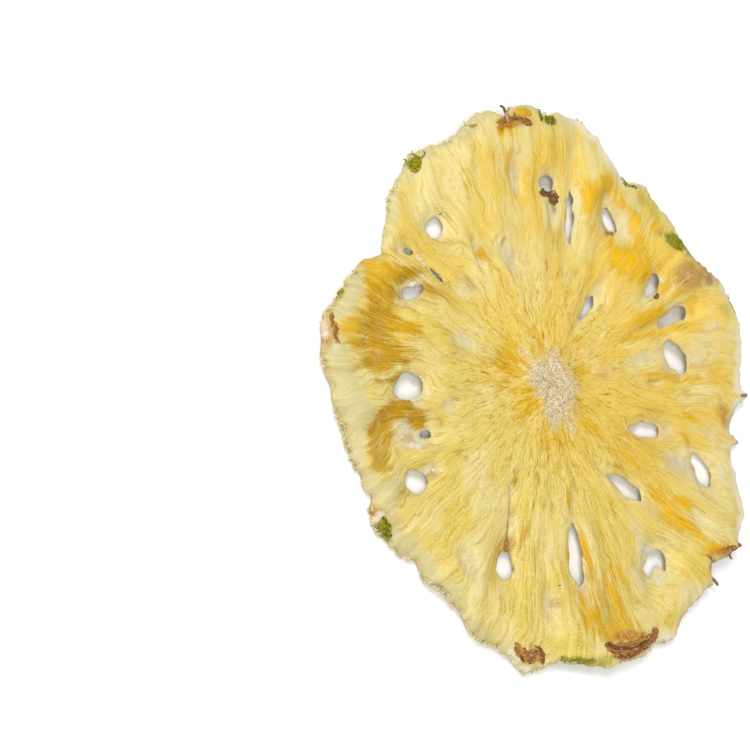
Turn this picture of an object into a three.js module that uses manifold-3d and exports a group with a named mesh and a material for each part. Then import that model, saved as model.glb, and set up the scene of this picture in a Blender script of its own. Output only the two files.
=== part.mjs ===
// A dried pineapple ring: one thin slice, dried whole with its core, lying flat with its cut face up.
// The flesh has shrunk to a wavy sheet between the thick core and the thicker rim, and the seed
// chambers round the core are torn open or closed by a thin skin.
// Millimetres. The origin is on the floor under the middle of the core, +Z up. Bearings are in
// degrees from +X, anticlockwise seen from above.
import * as THREE from 'three';
import Module from 'manifold-3d';
import { mergeVertices } from 'three/addons/utils/BufferGeometryUtils.js';

const wasm = await Module();
wasm.setup();

// Thickness of the flesh and of the core, and how high the middle of the sheet lies
const FLESH_THICKNESS = 2.5;
const CORE_THICKNESS = 4.6;
const MIDDLE_HEIGHT = 2.1;
// The core's thickness fades into the flesh between these distances from the centre
const CORE_RADIUS = 3.5;
const CORE_FADE = 9.0;
// The rim's own thickness starts at these shares of the radius
const RIM_START = 0.8;
const RIM_FULL = 0.95;
// From this share of the radius on, the top face falls towards the rim
const FALL_START = 0.84;
// The rim's wall is rounded: its top and bottom edges stand this share of the radius further in
const EDGE_INSET = 0.015;
// Fibres gather in radial folds, this high
const FOLD_HEIGHT = 0.22;
// Share of the thickness that is gone at the lip of an open seed chamber, and how far that reaches
const LIP_LOSS = 0.68;
const LIP_REACH = 1.5;
// The sheet is nowhere thinner than this
const THINNEST = 0.5;

// Radius of the rim where its outline turns: [bearing, radius]
const RIM = [
  [0, 46.5], [5, 47.7], [10, 47.0], [14, 46.3], [19, 43.9], [25, 43.0], [31, 43.2], [37, 44.0],
  [42, 45.1], [47, 43.0], [52, 43.1], [57, 44.9], [61, 46.8], [65, 47.3], [71, 47.1], [77, 46.7],
  [82, 46.9], [86, 46.2], [91, 46.2], [97, 44.3], [103, 43.0], [110, 44.0], [116, 42.6],
  [122, 41.2], [129, 38.4], [135, 37.2], [141, 38.8], [148, 41.4], [157, 43.6], [164, 43.8],
  [171, 42.4], [180, 41.2], [187, 40.4], [194, 39.9], [200, 41.2], [207, 41.4], [214, 40.2],
  [222, 40.4], [230, 41.2], [237, 43.5], [245, 44.6], [250, 46.7], [256, 45.4], [263, 45.3],
  [270, 46.8], [280, 48.3], [286, 48.2], [291, 49.7], [297, 47.5], [304, 47.7], [310, 47.8],
  [316, 48.4], [323, 48.9], [328, 47.2], [334, 44.9], [342, 44.7], [347, 45.6], [353, 46.6],
];
// Marks of the peeled eyes on the outline, spines out and notches in: [bearing, half width, radius]
const EYE_MARKS = [
  [75.7, 2, -1.3], [86.5, 3.2, -1.6], [61.6, 2, -0.9], [196.5, 2, -0.7], [308.3, 3.4, -1.6],
  [305, 1.5, 1.0], [315.5, 1.6, 0.8], [342, 4.2, -1.3], [338.5, 1.5, 2.6], [348.5, 1.8, 2.4],
];
// How far the rim curls up or down, and how thick it is: [bearing, height]
const RIM_CURL = [
  [0, 0.9], [22, 1.2], [45, -0.7], [66, 0.6], [92, 1.4], [118, -0.7], [142, 0.2], [165, 0.8],
  [186, 0.5], [207, -0.5], [228, 0.6], [248, -0.6], [270, 1.0], [290, -0.6], [312, 1.2], [338, -0.9],
];
const RIM_THICKNESS = [
  [0, 2.8], [30, 3.0], [60, 3.2], [90, 3.4], [125, 3.0], [160, 4.2], [185, 4.2], [212, 3.6],
  [245, 3.2], [280, 3.6], [310, 3.2], [345, 2.8],
];
// How far the top face has fallen at the very rim: [bearing, height]
const RIM_FALL = [
  [0, 0.6], [45, 0.6], [90, 0.9], [125, 1.2], [155, 2.4], [185, 2.7], [212, 2.2], [240, 1.5],
  [270, 1.1], [310, 0.9], [340, 0.6],
];
// Swollen and sunken places of the whole sheet: [x, y, half length, half width, bearing, height]
const SWELLS = [
  [-33, 12, 7, 4, 20, -1.2], [-30, 22, 4.5, 3.5, 60, -0.7], [-34.5, -4.5, 4, 4, 70, -1.2],
  [-28.5, 0.5, 4, 1.5, 10, 0.5], [20, 31, 4, 2.2, 40, 0.9], [25, 17.5, 6, 2.8, -10, 1.0],
  [24, 8, 6, 1.6, 8, 0.6], [27.5, 25.5, 4, 1.8, -50, 0.7], [37.5, 13, 3.2, 2.2, 20, 1.0],
  [33, 27, 3, 2.4, -45, -0.4], [3.5, -36, 6, 2, -88, -0.5], [19.5, -24, 8, 1.6, -52, -0.5],
  [-36, 20, 4, 2, 50, 0.4], [30, -30, 5, 3, -45, 0.4],
  // the woody remains of three eyes, raised at the rim
  [5.5, -44.6, 5, 1.4, 0, 0.8], [-16.3, -41.2, 3, 1.5, -25, 0.6], [3.8, 43.6, 3.5, 1.2, 5, 0.5],
];
// Seed chambers that are open right through: [x, y, length, width, bearing of the wide end, flare]
const OPEN_CHAMBERS = [
  [9.8, 32.8, 4.3, 3.2, 10, 0], [13.8, 26.8, 9.6, 1.6, 252, 0.2],
  [23.2, 25.2, 5.2, 3.0, -60, 0.1], [28.7, 12.8, 5.2, 2.8, 40, 0.2],
  [13.4, 11.1, 5.4, 1.5, 40, 0.1], [31.9, 6.9, 8.0, 2.4, 13, 0.3],
  [30.8, 0.2, 7.2, 4.0, -54, 0.1], [20.8, -10.9, 7.5, 2.8, -13, 0.4],
  [13.1, -19.2, 8.2, 2.7, -42, 0.5], [32.2, -19.8, 6.6, 3.9, -75, 0.3],
  [15.5, -33.1, 4.8, 2.5, 72, 0], [17.8, -32.6, 4.2, 2.4, 105, 0],
  [-1.0, -28.1, 10.4, 3.2, 260, 0.2], [-15.5, -26.7, 4.8, 4.0, 252, 0.2],
  [-29.5, -10.5, 4.6, 3.4, 165, 0.1], [-26.0, -3.7, 2.5, 1.2, -10, 0],
  [-27.8, 4.1, 6.3, 4.3, 12, 0.05], [-22.4, 18.7, 5.0, 2.3, 8, 0],
  [-16.8, 20.7, 3.5, 1.0, -54, 0], [-21.3, 25.0, 2.0, 1.3, -25, 0],
  [-15.0, 28.3, 3.5, 3.1, 10, 0.1],
];
// Chambers still closed by a skin, the same with the share of the thickness that is gone
const CLOSED_CHAMBERS = [
  [2.3, 34.5, 7.0, 3.2, 88, 0, 0.45], [-2.3, 21.5, 6.5, 3.2, 115, 0.1, 0.45],
  [-8.3, 22.5, 5.5, 1.6, 100, 0, 0.5], [-12.3, 17.8, 5.0, 3.4, -50, 0, 0.45],
  [-15.2, 9, 6.0, 4.2, -30, 0, 0.35], [-20.2, 0, 4.0, 2.0, 0, 0, 0.35],
  [-23.6, -24.3, 5.8, 4.2, 110, 0, 0.5], [-8.6, -34.4, 5.6, 3.4, 82, 0, 0.5],
  [-6.4, -14.0, 3.2, 1.0, 72, 0, 0.4], [26.6, -17.6, 7.0, 4.2, -20, 0, 0.45],
  [27, -28, 4, 2.5, -45, 0, 0.4], [9.6, 28.0, 6.0, 3.2, 70, 0.4, 0.55],
  [-28.8, -3.0, 7.5, 5.5, 0, 0, 0.5], [-23.2, 19.3, 6.8, 4.4, 15, 0, 0.5],
  [-26.8, -9.2, 4.0, 2.6, 0, 0, 0.45], [-28.4, 1.8, 6, 3, 10, 0, 0.4],
  [25.0, 24.2, 5.5, 6.0, 0, 0, 0.5], [22.8, 28.2, 4.0, 2.4, 100, 0, 0.4],
  [-1.8, -34.2, 4.6, 2.4, 263, 0, 0.5], [16.5, 13.7, 5, 2.2, 38, 0, 0.35],
  [-13.6, -21.4, 8.4, 1.7, 254, 0.4, 0.5], [-12.2, -16.5, 5, 1.2, 262, 0, 0.4],
  [23.6, 0.9, 8.6, 2.8, 5, 0, 0.4], [24.5, -3.6, 3.8, 1.0, -8, 0, 0.5],
  [25.0, -12.0, 6, 4, -15, 0, 0.35], [17.5, -23.8, 6, 3, -45, 0, 0.3],
  [36.5, 2, 8, 6, 0, 0, 0.25], [-22.6, 25.6, 3.6, 2.4, -20, 0, 0.4],
];

// The mesh: shares of the radius where its rings lie, and how many spokes cross each
const RINGS = [
  [0.045, 36], [0.11, 36], [0.19, 72], [0.27, 72], [0.36, 72], [0.45, 72], [0.53, 144],
  [0.61, 144], [0.69, 144], [0.77, 144], [0.84, 144], [0.9, 144], [0.95, 144],
];
// Heights of the wall's rings between its two edges, as shares of its thickness
const WALL_RINGS = [0.7, 0.3];
const CHAMBER_SIDES = 12;
// The cutters reach past both faces of the sheet
const CUTTER_BOTTOM = -2;
const CUTTER_HEIGHT = 12;

const radians = THREE.MathUtils.degToRad;
const { smoothstep, euclideanModulo } = THREE.MathUtils;

// A smooth closed curve through [bearing, value] stations
function stationValue(stations, bearing) {
  const count = stations.length;
  const turn = euclideanModulo(bearing, 360);
  const at = (k) => stations[euclideanModulo(k, count)];
  const gap = (k) => euclideanModulo(at(k + 1)[0] - at(k)[0], 360);
  const slope = (k) => (at(k + 1)[1] - at(k - 1)[1]) / (gap(k - 1) + gap(k));
  const next = stations.findIndex((station) => station[0] > turn);
  const k = next < 0 ? count - 1 : next - 1;
  const t = euclideanModulo(turn - at(k)[0], 360) / gap(k);
  const start = (2 * t - 3) * t * t + 1;
  const leave = ((t - 2) * t + 1) * t * slope(k) * gap(k);
  const arrive = (t - 1) * t * t * slope(k + 1) * gap(k);
  return start * at(k)[1] + leave + (1 - start) * at(k + 1)[1] + arrive;
}

// The rim's outline: its stations, the marks of the eyes and a fine waviness
function rimRadius(bearing) {
  let radius = stationValue(RIM, bearing);
  for (const [middle, halfWidth, change] of EYE_MARKS) {
    const away = Math.abs(euclideanModulo(bearing - middle + 180, 360) - 180);
    radius += change * Math.max(0, 1 - away / halfWidth);
  }
  const turn = radians(bearing);
  return radius + 0.22 * Math.sin(23 * turn + 1) + 0.16 * Math.sin(41 * turn + 2);
}

// A place seen from a feature: along its bearing and across it
function seenFrom(x, y, [middleX, middleY, , , bearing]) {
  const turn = radians(bearing);
  const along = (x - middleX) * Math.cos(turn) + (y - middleY) * Math.sin(turn);
  const across = (y - middleY) * Math.cos(turn) - (x - middleX) * Math.sin(turn);
  return [along, across];
}

// 0 in the middle of a seed chamber and 1 on its edge, an ellipse that flares towards one end
function chamberReach(x, y, chamber) {
  const [, , length, width, , flare] = chamber;
  const [along, across] = seenFrom(x, y, chamber);
  const end = along / (length / 2);
  const half = (width / 2) * (1 + flare * THREE.MathUtils.clamp(end, -1, 1));
  return Math.hypot(end, across / half);
}

// Heights of the sheet's two faces at a place
function faceHeights(x, y) {
  const distance = Math.hypot(x, y);
  const turn = Math.atan2(y, x);
  const bearing = THREE.MathUtils.radToDeg(turn);
  const share = distance / rimRadius(bearing);

  let middle = MIDDLE_HEIGHT + stationValue(RIM_CURL, bearing) * smoothstep(share, 0.3, 1);
  const folds = Math.sin(11 * turn + 0.6) * Math.sin(4 * turn + 1) + 0.6 * Math.sin(19 * turn + 2 * share);
  middle += FOLD_HEIGHT * smoothstep(share, 0.15, 0.6) * folds;
  for (const swell of SWELLS) {
    const [along, across] = seenFrom(x, y, swell);
    middle += swell[5] * Math.exp(-((along / swell[2]) ** 2) - (across / swell[3]) ** 2);
  }

  const coreExtra = CORE_THICKNESS - FLESH_THICKNESS;
  const rimExtra = stationValue(RIM_THICKNESS, bearing) - FLESH_THICKNESS;
  let thickness = FLESH_THICKNESS;
  thickness += coreExtra * (1 - smoothstep(distance, CORE_RADIUS, CORE_FADE));
  thickness += rimExtra * smoothstep(share, RIM_START, RIM_FULL);
  for (const chamber of CLOSED_CHAMBERS) {
    thickness *= 1 - chamber[6] * Math.exp(-0.9 * chamberReach(x, y, chamber) ** 4);
  }
  for (const chamber of OPEN_CHAMBERS) {
    const past = Math.max(chamberReach(x, y, chamber) - 1, 0) * Math.min(chamber[2], chamber[3]) / 2;
    thickness *= 1 - LIP_LOSS * Math.exp(-((past / LIP_REACH) ** 2));
  }
  const outwards = Math.max(share - FALL_START, 0) / (1 - FALL_START);
  const fall = stationValue(RIM_FALL, bearing) * Math.min(outwards, 1) ** 2;
  // What would hang below the floor is pressed flat on it
  const bottom = Math.max(0, middle - thickness / 2);
  return { top: Math.max(middle + thickness / 2 - fall, bottom + THINNEST), bottom };
}

// Bearing of a spoke: even steps, moved onto an eye mark that lies near
function spokeBearing(spoke, count) {
  const step = 360 / count;
  const even = spoke * step;
  const mark = EYE_MARKS.find(([middle]) => Math.abs(middle - even) < step / 2 && count > 100);
  return mark ? mark[0] : even;
}

// One ring of vertices. height takes the two face heights and gives the ring's own
function ringPoints(positions, share, count, height) {
  const first = positions.length / 3;
  for (let spoke = 0; spoke < count; spoke++) {
    const bearing = spokeBearing(spoke, count);
    const turn = radians(bearing);
    const reach = share * rimRadius(bearing);
    const heights = faceHeights(reach * Math.cos(turn), reach * Math.sin(turn));
    positions.push(reach * Math.cos(turn), reach * Math.sin(turn), height(heights));
  }
  return { first, count };
}

// Triangles between two rings, the second with as many points as the first, twice or half as many
function stitch(indices, ring, next) {
  const count = Math.max(ring.count, next.count);
  const point = (r, k) => r.first + (Math.ceil((k * r.count) / count) % r.count);
  for (let k = 0; k < count; k++) {
    const [a, b] = [point(ring, k), point(ring, k + 1)];
    const [c, d] = [point(next, k), point(next, k + 1)];
    if (c !== d) indices.push(a, c, d);
    if (a !== b) indices.push(a, d, b);
  }
}

// A fan that closes the sheet at the core. up says which way it faces
function closeCore(indices, positions, ring, height, up) {
  const middle = positions.length / 3;
  positions.push(0, 0, height(faceHeights(0, 0)));
  for (let k = 0; k < ring.count; k++) {
    const a = ring.first + k;
    const b = ring.first + ((k + 1) % ring.count);
    if (up) indices.push(middle, a, b);
    else indices.push(middle, b, a);
  }
}

// The whole sheet: the top's rings from the core out, round the rim's wall and back underneath
function sheetGeometry() {
  const positions = [];
  const indices = [];
  const onTop = (heights) => heights.top;
  const onBottom = (heights) => heights.bottom;
  const edge = 1 - EDGE_INSET;
  const top = RINGS.map(([share, count]) => ringPoints(positions, share, count, onTop));
  const spokes = RINGS.at(-1)[1];
  const wall = [ringPoints(positions, edge, spokes, onTop)];
  for (const level of WALL_RINGS) {
    const between = (heights) => THREE.MathUtils.lerp(heights.bottom, heights.top, level);
    wall.push(ringPoints(positions, 1, spokes, between));
  }
  wall.push(ringPoints(positions, edge, spokes, onBottom));
  const bottom = RINGS.map(([share, count]) => ringPoints(positions, share, count, onBottom)).reverse();

  const rings = [...top, ...wall, ...bottom];
  closeCore(indices, positions, rings[0], onTop, true);
  for (let k = 1; k < rings.length; k++) stitch(indices, rings[k - 1], rings[k]);
  closeCore(indices, positions, rings.at(-1), onBottom, false);

  const geometry = new THREE.BufferGeometry();
  geometry.setAttribute('position', new THREE.Float32BufferAttribute(positions, 3));
  geometry.setIndex(indices);
  return geometry;
}

// A straight cutter with the outline of an open seed chamber
function chamberCutter([x, y, length, width, bearing, flare]) {
  const outline = [];
  for (let side = 0; side < CHAMBER_SIDES; side++) {
    const turn = (2 * Math.PI * side) / CHAMBER_SIDES;
    const along = (length / 2) * Math.cos(turn);
    const across = (width / 2) * (1 + flare * Math.cos(turn)) * Math.sin(turn);
    outline.push(new THREE.Vector2(along, across));
  }
  const geometry = new THREE.ExtrudeGeometry(new THREE.Shape(outline), {
    depth: CUTTER_HEIGHT,
    bevelEnabled: false,
  });
  geometry.rotateZ(radians(bearing));
  geometry.translate(x, y, CUTTER_BOTTOM);
  return geometry;
}

// A closed geometry as a solid that can be joined and cut
function toSolid(geometry) {
  geometry.deleteAttribute('normal');
  geometry.deleteAttribute('uv');
  const merged = mergeVertices(geometry, 1e-5);
  const vertProperties = new Float32Array(merged.attributes.position.array);
  const triVerts = new Uint32Array(merged.index.array);
  return new wasm.Manifold(new wasm.Mesh({ numProp: 3, vertProperties, triVerts }));
}

// And back
function toGeometry(solid) {
  const mesh = solid.getMesh();
  const geometry = new THREE.BufferGeometry();
  geometry.setAttribute('position', new THREE.BufferAttribute(mesh.vertProperties, 3));
  geometry.setIndex(new THREE.BufferAttribute(mesh.triVerts, 1));
  geometry.computeVertexNormals();
  return geometry;
}

function pineappleRing() {
  let slice = toSolid(sheetGeometry());
  for (const chamber of OPEN_CHAMBERS) slice = slice.subtract(toSolid(chamberCutter(chamber)));
  const driedFlesh = new THREE.MeshStandardMaterial({ color: '#e8cf78', roughness: 0.55, metalness: 0 });
  const mesh = new THREE.Mesh(toGeometry(slice), driedFlesh);
  mesh.name = 'pineapple_ring';
  return mesh;
}

const part = new THREE.Group();
part.add(pineappleRing());

export default part;
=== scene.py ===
# %% [markdown]
# # A dried pineapple ring
#
# This lesson dresses one slice of dried pineapple. The slice was cut about 5 mm thick, core and all,
# and dried slowly: the flesh shrank to a wavy, half clear sheet, its fibres gathered in radial folds,
# and the seed chambers round the core tore open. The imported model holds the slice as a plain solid.
# Here the same named sizes rebuild it as a fine mesh, with fibres, skin, eyes and colour.
#
# Lengths are in millimetres, and only the last step of each piece turns them to metres.

# %% The frame
import math

import bpy
import numpy as np
from mathutils import Matrix, Vector


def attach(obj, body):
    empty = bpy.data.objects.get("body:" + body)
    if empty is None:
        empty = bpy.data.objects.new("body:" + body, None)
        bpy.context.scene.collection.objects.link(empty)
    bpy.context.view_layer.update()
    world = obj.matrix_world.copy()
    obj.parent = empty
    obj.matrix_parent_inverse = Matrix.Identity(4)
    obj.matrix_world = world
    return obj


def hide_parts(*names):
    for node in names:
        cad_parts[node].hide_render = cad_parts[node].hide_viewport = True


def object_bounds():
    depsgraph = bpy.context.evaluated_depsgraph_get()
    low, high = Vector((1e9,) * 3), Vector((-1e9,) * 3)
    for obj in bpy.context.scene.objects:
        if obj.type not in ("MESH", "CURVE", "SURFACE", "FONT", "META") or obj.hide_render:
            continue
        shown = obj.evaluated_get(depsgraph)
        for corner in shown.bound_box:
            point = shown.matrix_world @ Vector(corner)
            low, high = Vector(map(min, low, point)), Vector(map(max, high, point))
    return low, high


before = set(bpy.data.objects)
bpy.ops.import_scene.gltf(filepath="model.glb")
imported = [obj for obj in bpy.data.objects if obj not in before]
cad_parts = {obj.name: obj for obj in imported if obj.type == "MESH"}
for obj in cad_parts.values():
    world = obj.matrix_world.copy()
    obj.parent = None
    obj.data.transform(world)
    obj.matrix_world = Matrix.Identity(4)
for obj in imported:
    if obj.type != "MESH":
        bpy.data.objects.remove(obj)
cad_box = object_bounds()
MM = 0.001
NODE = "pineapple_ring"
BODY = "root"
box_in_mm = [tuple(round(c / MM, 1) for c in corner) for corner in cad_box]
print("solids:", list(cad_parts), "box in mm:", box_in_mm)

# %% [markdown]
# ## A few small helpers
#
# Colours are written as sRGB hex, as a colour picker shows them, but a shader wants linear light.
# One function turns the one into the other. A second adds a shader node with its settings and
# links in one line. A third gives smooth random values, which is all the unevenness that a natural
# thing needs. The last number of each call is its seed: the same seed always gives the same values,
# so every run makes the same slice.

# %% Helpers
def srgb(code):
    """A hex colour as linear red, green, blue and alpha."""
    channels = [int(code[k:k + 2], 16) / 255 for k in (1, 3, 5)]
    linear = [c / 12.92 if c <= 0.04045 else ((c + 0.055) / 1.055) ** 2.4 for c in channels]
    return (*linear, 1.0)


def add(tree, kind, out=0, **settings):
    """A shader node, as one of its outputs. Settings are properties or sockets, and _2 means socket 2."""
    node = tree.nodes.new(kind)
    for name, value in settings.items():
        if hasattr(node, name):
            setattr(node, name, value)
            continue
        socket = node.inputs[int(name[1:]) if name[0] == "_" else name.replace("_", " ")]
        if isinstance(value, bpy.types.NodeSocket):
            tree.links.new(value, socket)
        else:
            socket.default_value = value
    return node.outputs[out]


def smoothstep(value, low, high):
    t = np.clip((value - low) / (high - low), 0, 1)
    return t * t * (3 - 2 * t)


def lattice(u, v, around, seed):
    """Smooth random values from -1 to 1 on a grid of unit cells that repeats every `around` along u."""
    table = np.random.default_rng(seed).uniform(-1, 1, (around, 256))
    i, j = np.floor(u).astype(int), np.floor(v).astype(int)
    s, t = smoothstep(u - i, 0, 1), smoothstep(v - j, 0, 1)
    i, j, k, m = i % around, j % 256, (i + 1) % around, (j + 1) % 256
    low = table[i, j] * (1 - s) + table[k, j] * s
    high = table[i, m] * (1 - s) + table[k, m] * s
    return low * (1 - t) + high * t


def wander(x, y, size, seed):
    """Smooth random values from -1 to 1 that change over about `size` millimetres."""
    return lattice(x / size + 71.3, y / size + 37.9, 256, seed)


def polar(x, y):
    """How far a place is from the middle of the core, and its bearing in degrees."""
    return np.hypot(x, y), np.degrees(np.arctan2(y, x))


print("helpers ready, for example white is", srgb("#ffffff"))

# %% [markdown]
# ## The plan of the slice
#
# A peeled pineapple is nearly round, but its slice isn't: each eye that the knife met left a lobe, a
# notch or a woody spine. The outline is drawn the way a cutter would mark it out, as the radius at a
# few bearings, joined by a smooth curve, with the eyes' marks added one by one.

# %% The outline
RIM = [
    (0, 46.5), (5, 47.7), (10, 47), (14, 46.3), (19, 43.9), (25, 43), (31, 43.2), (37, 44), (42, 45.1),
    (47, 43), (52, 43.1), (57, 44.9), (61, 46.8), (65, 47.3), (71, 47.1), (77, 46.7), (82, 46.9),
    (86, 46.2), (91, 46.2), (97, 44.3), (103, 43), (110, 44), (116, 42.6), (122, 41.2), (129, 38.4),
    (135, 37.2), (141, 38.8), (148, 41.4), (157, 43.6), (164, 43.8), (171, 42.4), (180, 41.2),
    (187, 40.4), (194, 39.9), (200, 41.2), (207, 41.4), (214, 40.2), (222, 40.4), (230, 41.2),
    (237, 43.5), (245, 44.6), (250, 46.7), (256, 45.4), (263, 45.3), (270, 46.8), (280, 48.3),
    (286, 48.2), (291, 49.7), (297, 47.5), (304, 47.7), (310, 47.8), (316, 48.4), (323, 48.9),
    (328, 47.2), (334, 44.9), (342, 44.7), (347, 45.6), (353, 46.6),
]
# (bearing, half width, change of radius): spines stand out, notches go in
EYE_MARKS = [
    (75.7, 2, -1.3), (86.5, 3.2, -1.6), (61.6, 2, -0.9), (196.5, 2, -0.7), (308.3, 3.4, -1.6),
    (305, 1.5, 1), (315.5, 1.6, 0.8), (342, 4.2, -1.3), (338.5, 1.5, 2.6), (348.5, 1.8, 2.4),
]


def station_value(stations, bearing):
    """A smooth closed curve through (bearing, value) stations."""
    at, value = np.array(stations, float).T
    gap = np.mod(np.roll(at, -1) - at, 360)
    slope = (np.roll(value, -1) - np.roll(value, 1)) / (np.roll(gap, 1) + gap)
    turn = np.mod(bearing, 360)
    k = np.mod(np.searchsorted(at, turn, side="right") - 1, len(at))
    n = np.mod(k + 1, len(at))
    t = np.mod(turn - at[k], 360) / gap[k]
    start = (2 * t - 3) * t * t + 1
    leave, arrive = ((t - 2) * t + 1) * t * slope[k] * gap[k], (t - 1) * t * t * slope[n] * gap[k]
    return start * value[k] + leave + (1 - start) * value[n] + arrive


def rim_radius(bearing):
    radius = station_value(RIM, bearing)
    for middle, half_width, change in EYE_MARKS:
        away = np.abs(np.mod(bearing - middle + 180, 360) - 180)
        radius = radius + change * np.clip(1 - away / half_width, 0, 1)
    turn = np.radians(bearing)
    return radius + 0.22 * np.sin(23 * turn + 1) + 0.16 * np.sin(41 * turn + 2)


all_round = np.arange(0, 360, 0.5)
all_radii = rim_radius(all_round)
print("rim radius in mm:", all_radii.min().round(1), "to", all_radii.max().round(1))

# %% [markdown]
# ## The seed chambers
#
# Each eye of a pineapple has three small seed chambers, which a slice cuts through between the core
# and the rim. In a thin dried slice most are torn open. The others are closed by a thin grey skin.
# Both are ellipses that flare towards one end, so one formula serves for all of them.

# %% The chambers
# (x, y, length, width, bearing of the wide end, flare)
OPEN_CHAMBERS = [
    (9.8, 32.8, 4.3, 3.2, 10, 0), (13.8, 26.8, 9.6, 1.6, 252, 0.2), (23.2, 25.2, 5.2, 3, -60, 0.1),
    (28.7, 12.8, 5.2, 2.8, 40, 0.2), (13.4, 11.1, 5.4, 1.5, 40, 0.1), (31.9, 6.9, 8, 2.4, 13, 0.3),
    (30.8, 0.2, 7.2, 4, -54, 0.1), (20.8, -10.9, 7.5, 2.8, -13, 0.4), (13.1, -19.2, 8.2, 2.7, -42, 0.5),
    (32.2, -19.8, 6.6, 3.9, -75, 0.3), (15.5, -33.1, 4.8, 2.5, 72, 0), (17.8, -32.6, 4.2, 2.4, 105, 0),
    (-1, -28.1, 10.4, 3.2, 260, 0.2), (-15.5, -26.7, 4.8, 4, 252, 0.2),
    (-29.5, -10.5, 4.6, 3.4, 165, 0.1), (-26, -3.7, 2.5, 1.2, -10, 0), (-27.8, 4.1, 6.3, 4.3, 12, 0.05),
    (-22.4, 18.7, 5, 2.3, 8, 0), (-16.8, 20.7, 3.5, 1, -54, 0), (-21.3, 25, 2, 1.3, -25, 0),
    (-15, 28.3, 3.5, 3.1, 10, 0.1),
]
# The same, with the share of the thickness that is gone
CLOSED_CHAMBERS = [
    (2.3, 34.5, 7, 3.2, 88, 0, 0.45), (-2.3, 21.5, 6.5, 3.2, 115, 0.1, 0.45),
    (-8.3, 22.5, 5.5, 1.6, 100, 0, 0.5), (-12.3, 17.8, 5, 3.4, -50, 0, 0.45),
    (-15.2, 9, 6, 4.2, -30, 0, 0.35), (-20.2, 0, 4, 2, 0, 0, 0.35),
    (-23.6, -24.3, 5.8, 4.2, 110, 0, 0.5), (-8.6, -34.4, 5.6, 3.4, 82, 0, 0.5),
    (-6.4, -14, 3.2, 1, 72, 0, 0.4), (26.6, -17.6, 7, 4.2, -20, 0, 0.45),
    (27, -28, 4, 2.5, -45, 0, 0.4), (9.6, 28, 6, 3.2, 70, 0.4, 0.55), (-28.8, -3, 7.5, 5.5, 0, 0, 0.5),
    (-23.2, 19.3, 6.8, 4.4, 15, 0, 0.5), (-26.8, -9.2, 4, 2.6, 0, 0, 0.45),
    (-28.4, 1.8, 6, 3, 10, 0, 0.4), (25, 24.2, 5.5, 6, 0, 0, 0.5), (22.8, 28.2, 4, 2.4, 100, 0, 0.4),
    (-1.8, -34.2, 4.6, 2.4, 263, 0, 0.5), (16.5, 13.7, 5, 2.2, 38, 0, 0.35),
    (-13.6, -21.4, 8.4, 1.7, 254, 0.4, 0.5), (-12.2, -16.5, 5, 1.2, 262, 0, 0.4),
    (23.6, 0.9, 8.6, 2.8, 5, 0, 0.4), (24.5, -3.6, 3.8, 1, -8, 0, 0.5), (25, -12, 6, 4, -15, 0, 0.35),
    (17.5, -23.8, 6, 3, -45, 0, 0.3), (36.5, 2, 8, 6, 0, 0, 0.25), (-22.6, 25.6, 3.6, 2.4, -20, 0, 0.4),
]
# Torn edges wander this far from the ellipse, over about this length
TEAR = 0.35
TEAR_LENGTH = 1.4


def seen_from(x, y, feature):
    """A place seen from a feature: along its bearing and across it."""
    turn = math.radians(feature[4])
    dx, dy = x - feature[0], y - feature[1]
    return dx * math.cos(turn) + dy * math.sin(turn), dy * math.cos(turn) - dx * math.sin(turn)


def chamber_reach(x, y, chamber):
    """0 in the middle of a chamber and 1 on its edge, and about how far the edge is."""
    along, across = seen_from(x, y, chamber)
    half_length = chamber[2] / 2
    half_width = chamber[3] / 2 * (1 + chamber[5] * np.clip(along / half_length, -1, 1))
    reach = np.hypot(along / half_length, across / half_width)
    steep = np.hypot(along / half_length ** 2, across / half_width ** 2) + 1e-9
    return reach, (reach - 1) * reach / steep


def torn(x, y):
    """Places moved a little, so that what is drawn at them gets a torn edge."""
    return (x + TEAR * wander(x, y, TEAR_LENGTH, 11), y + TEAR * wander(x, y, TEAR_LENGTH, 12))


print(len(OPEN_CHAMBERS), "open chambers,", len(CLOSED_CHAMBERS), "closed")

# %% [markdown]
# ## The two faces
#
# The height of each face is worked out at every place of the plan: a middle sheet that curls up and
# down at the rim, plus or minus half the thickness. The core and the rim dried less than the flesh,
# so they are thicker, and the skin over a chamber is thin. What would hang below the table is
# pressed flat on it.

# %% The faces
FLESH_THICKNESS, CORE_THICKNESS, MIDDLE_HEIGHT = 2.5, 4.6, 2.1
CORE_RADIUS, CORE_FADE = 3.5, 9.0
RIM_START, RIM_FULL = 0.8, 0.95
FOLD_HEIGHT = 0.22
LIP_LOSS, LIP_REACH = 0.68, 1.5
RIM_CURL = [
    (0, 0.9), (22, 1.2), (45, -0.7), (66, 0.6), (92, 1.4), (118, -0.7), (142, 0.2), (165, 0.8),
    (186, 0.5), (207, -0.5), (228, 0.6), (248, -0.6), (270, 1), (290, -0.6), (312, 1.2), (338, -0.9),
]
RIM_THICKNESS = [
    (0, 2.8), (30, 3), (60, 3.2), (90, 3.4), (125, 3), (160, 4.2), (185, 4.2), (212, 3.6), (245, 3.2),
    (280, 3.6), (310, 3.2), (345, 2.8),
]
# How far the top face has fallen at the very rim, and the share of the radius where it starts to
RIM_FALL = [
    (0, 0.6), (45, 0.6), (90, 0.9), (125, 1.2), (155, 2.4), (185, 2.7), (212, 2.2), (240, 1.5),
    (270, 1.1), (310, 0.9), (340, 0.6),
]
FALL_START = 0.84
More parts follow.
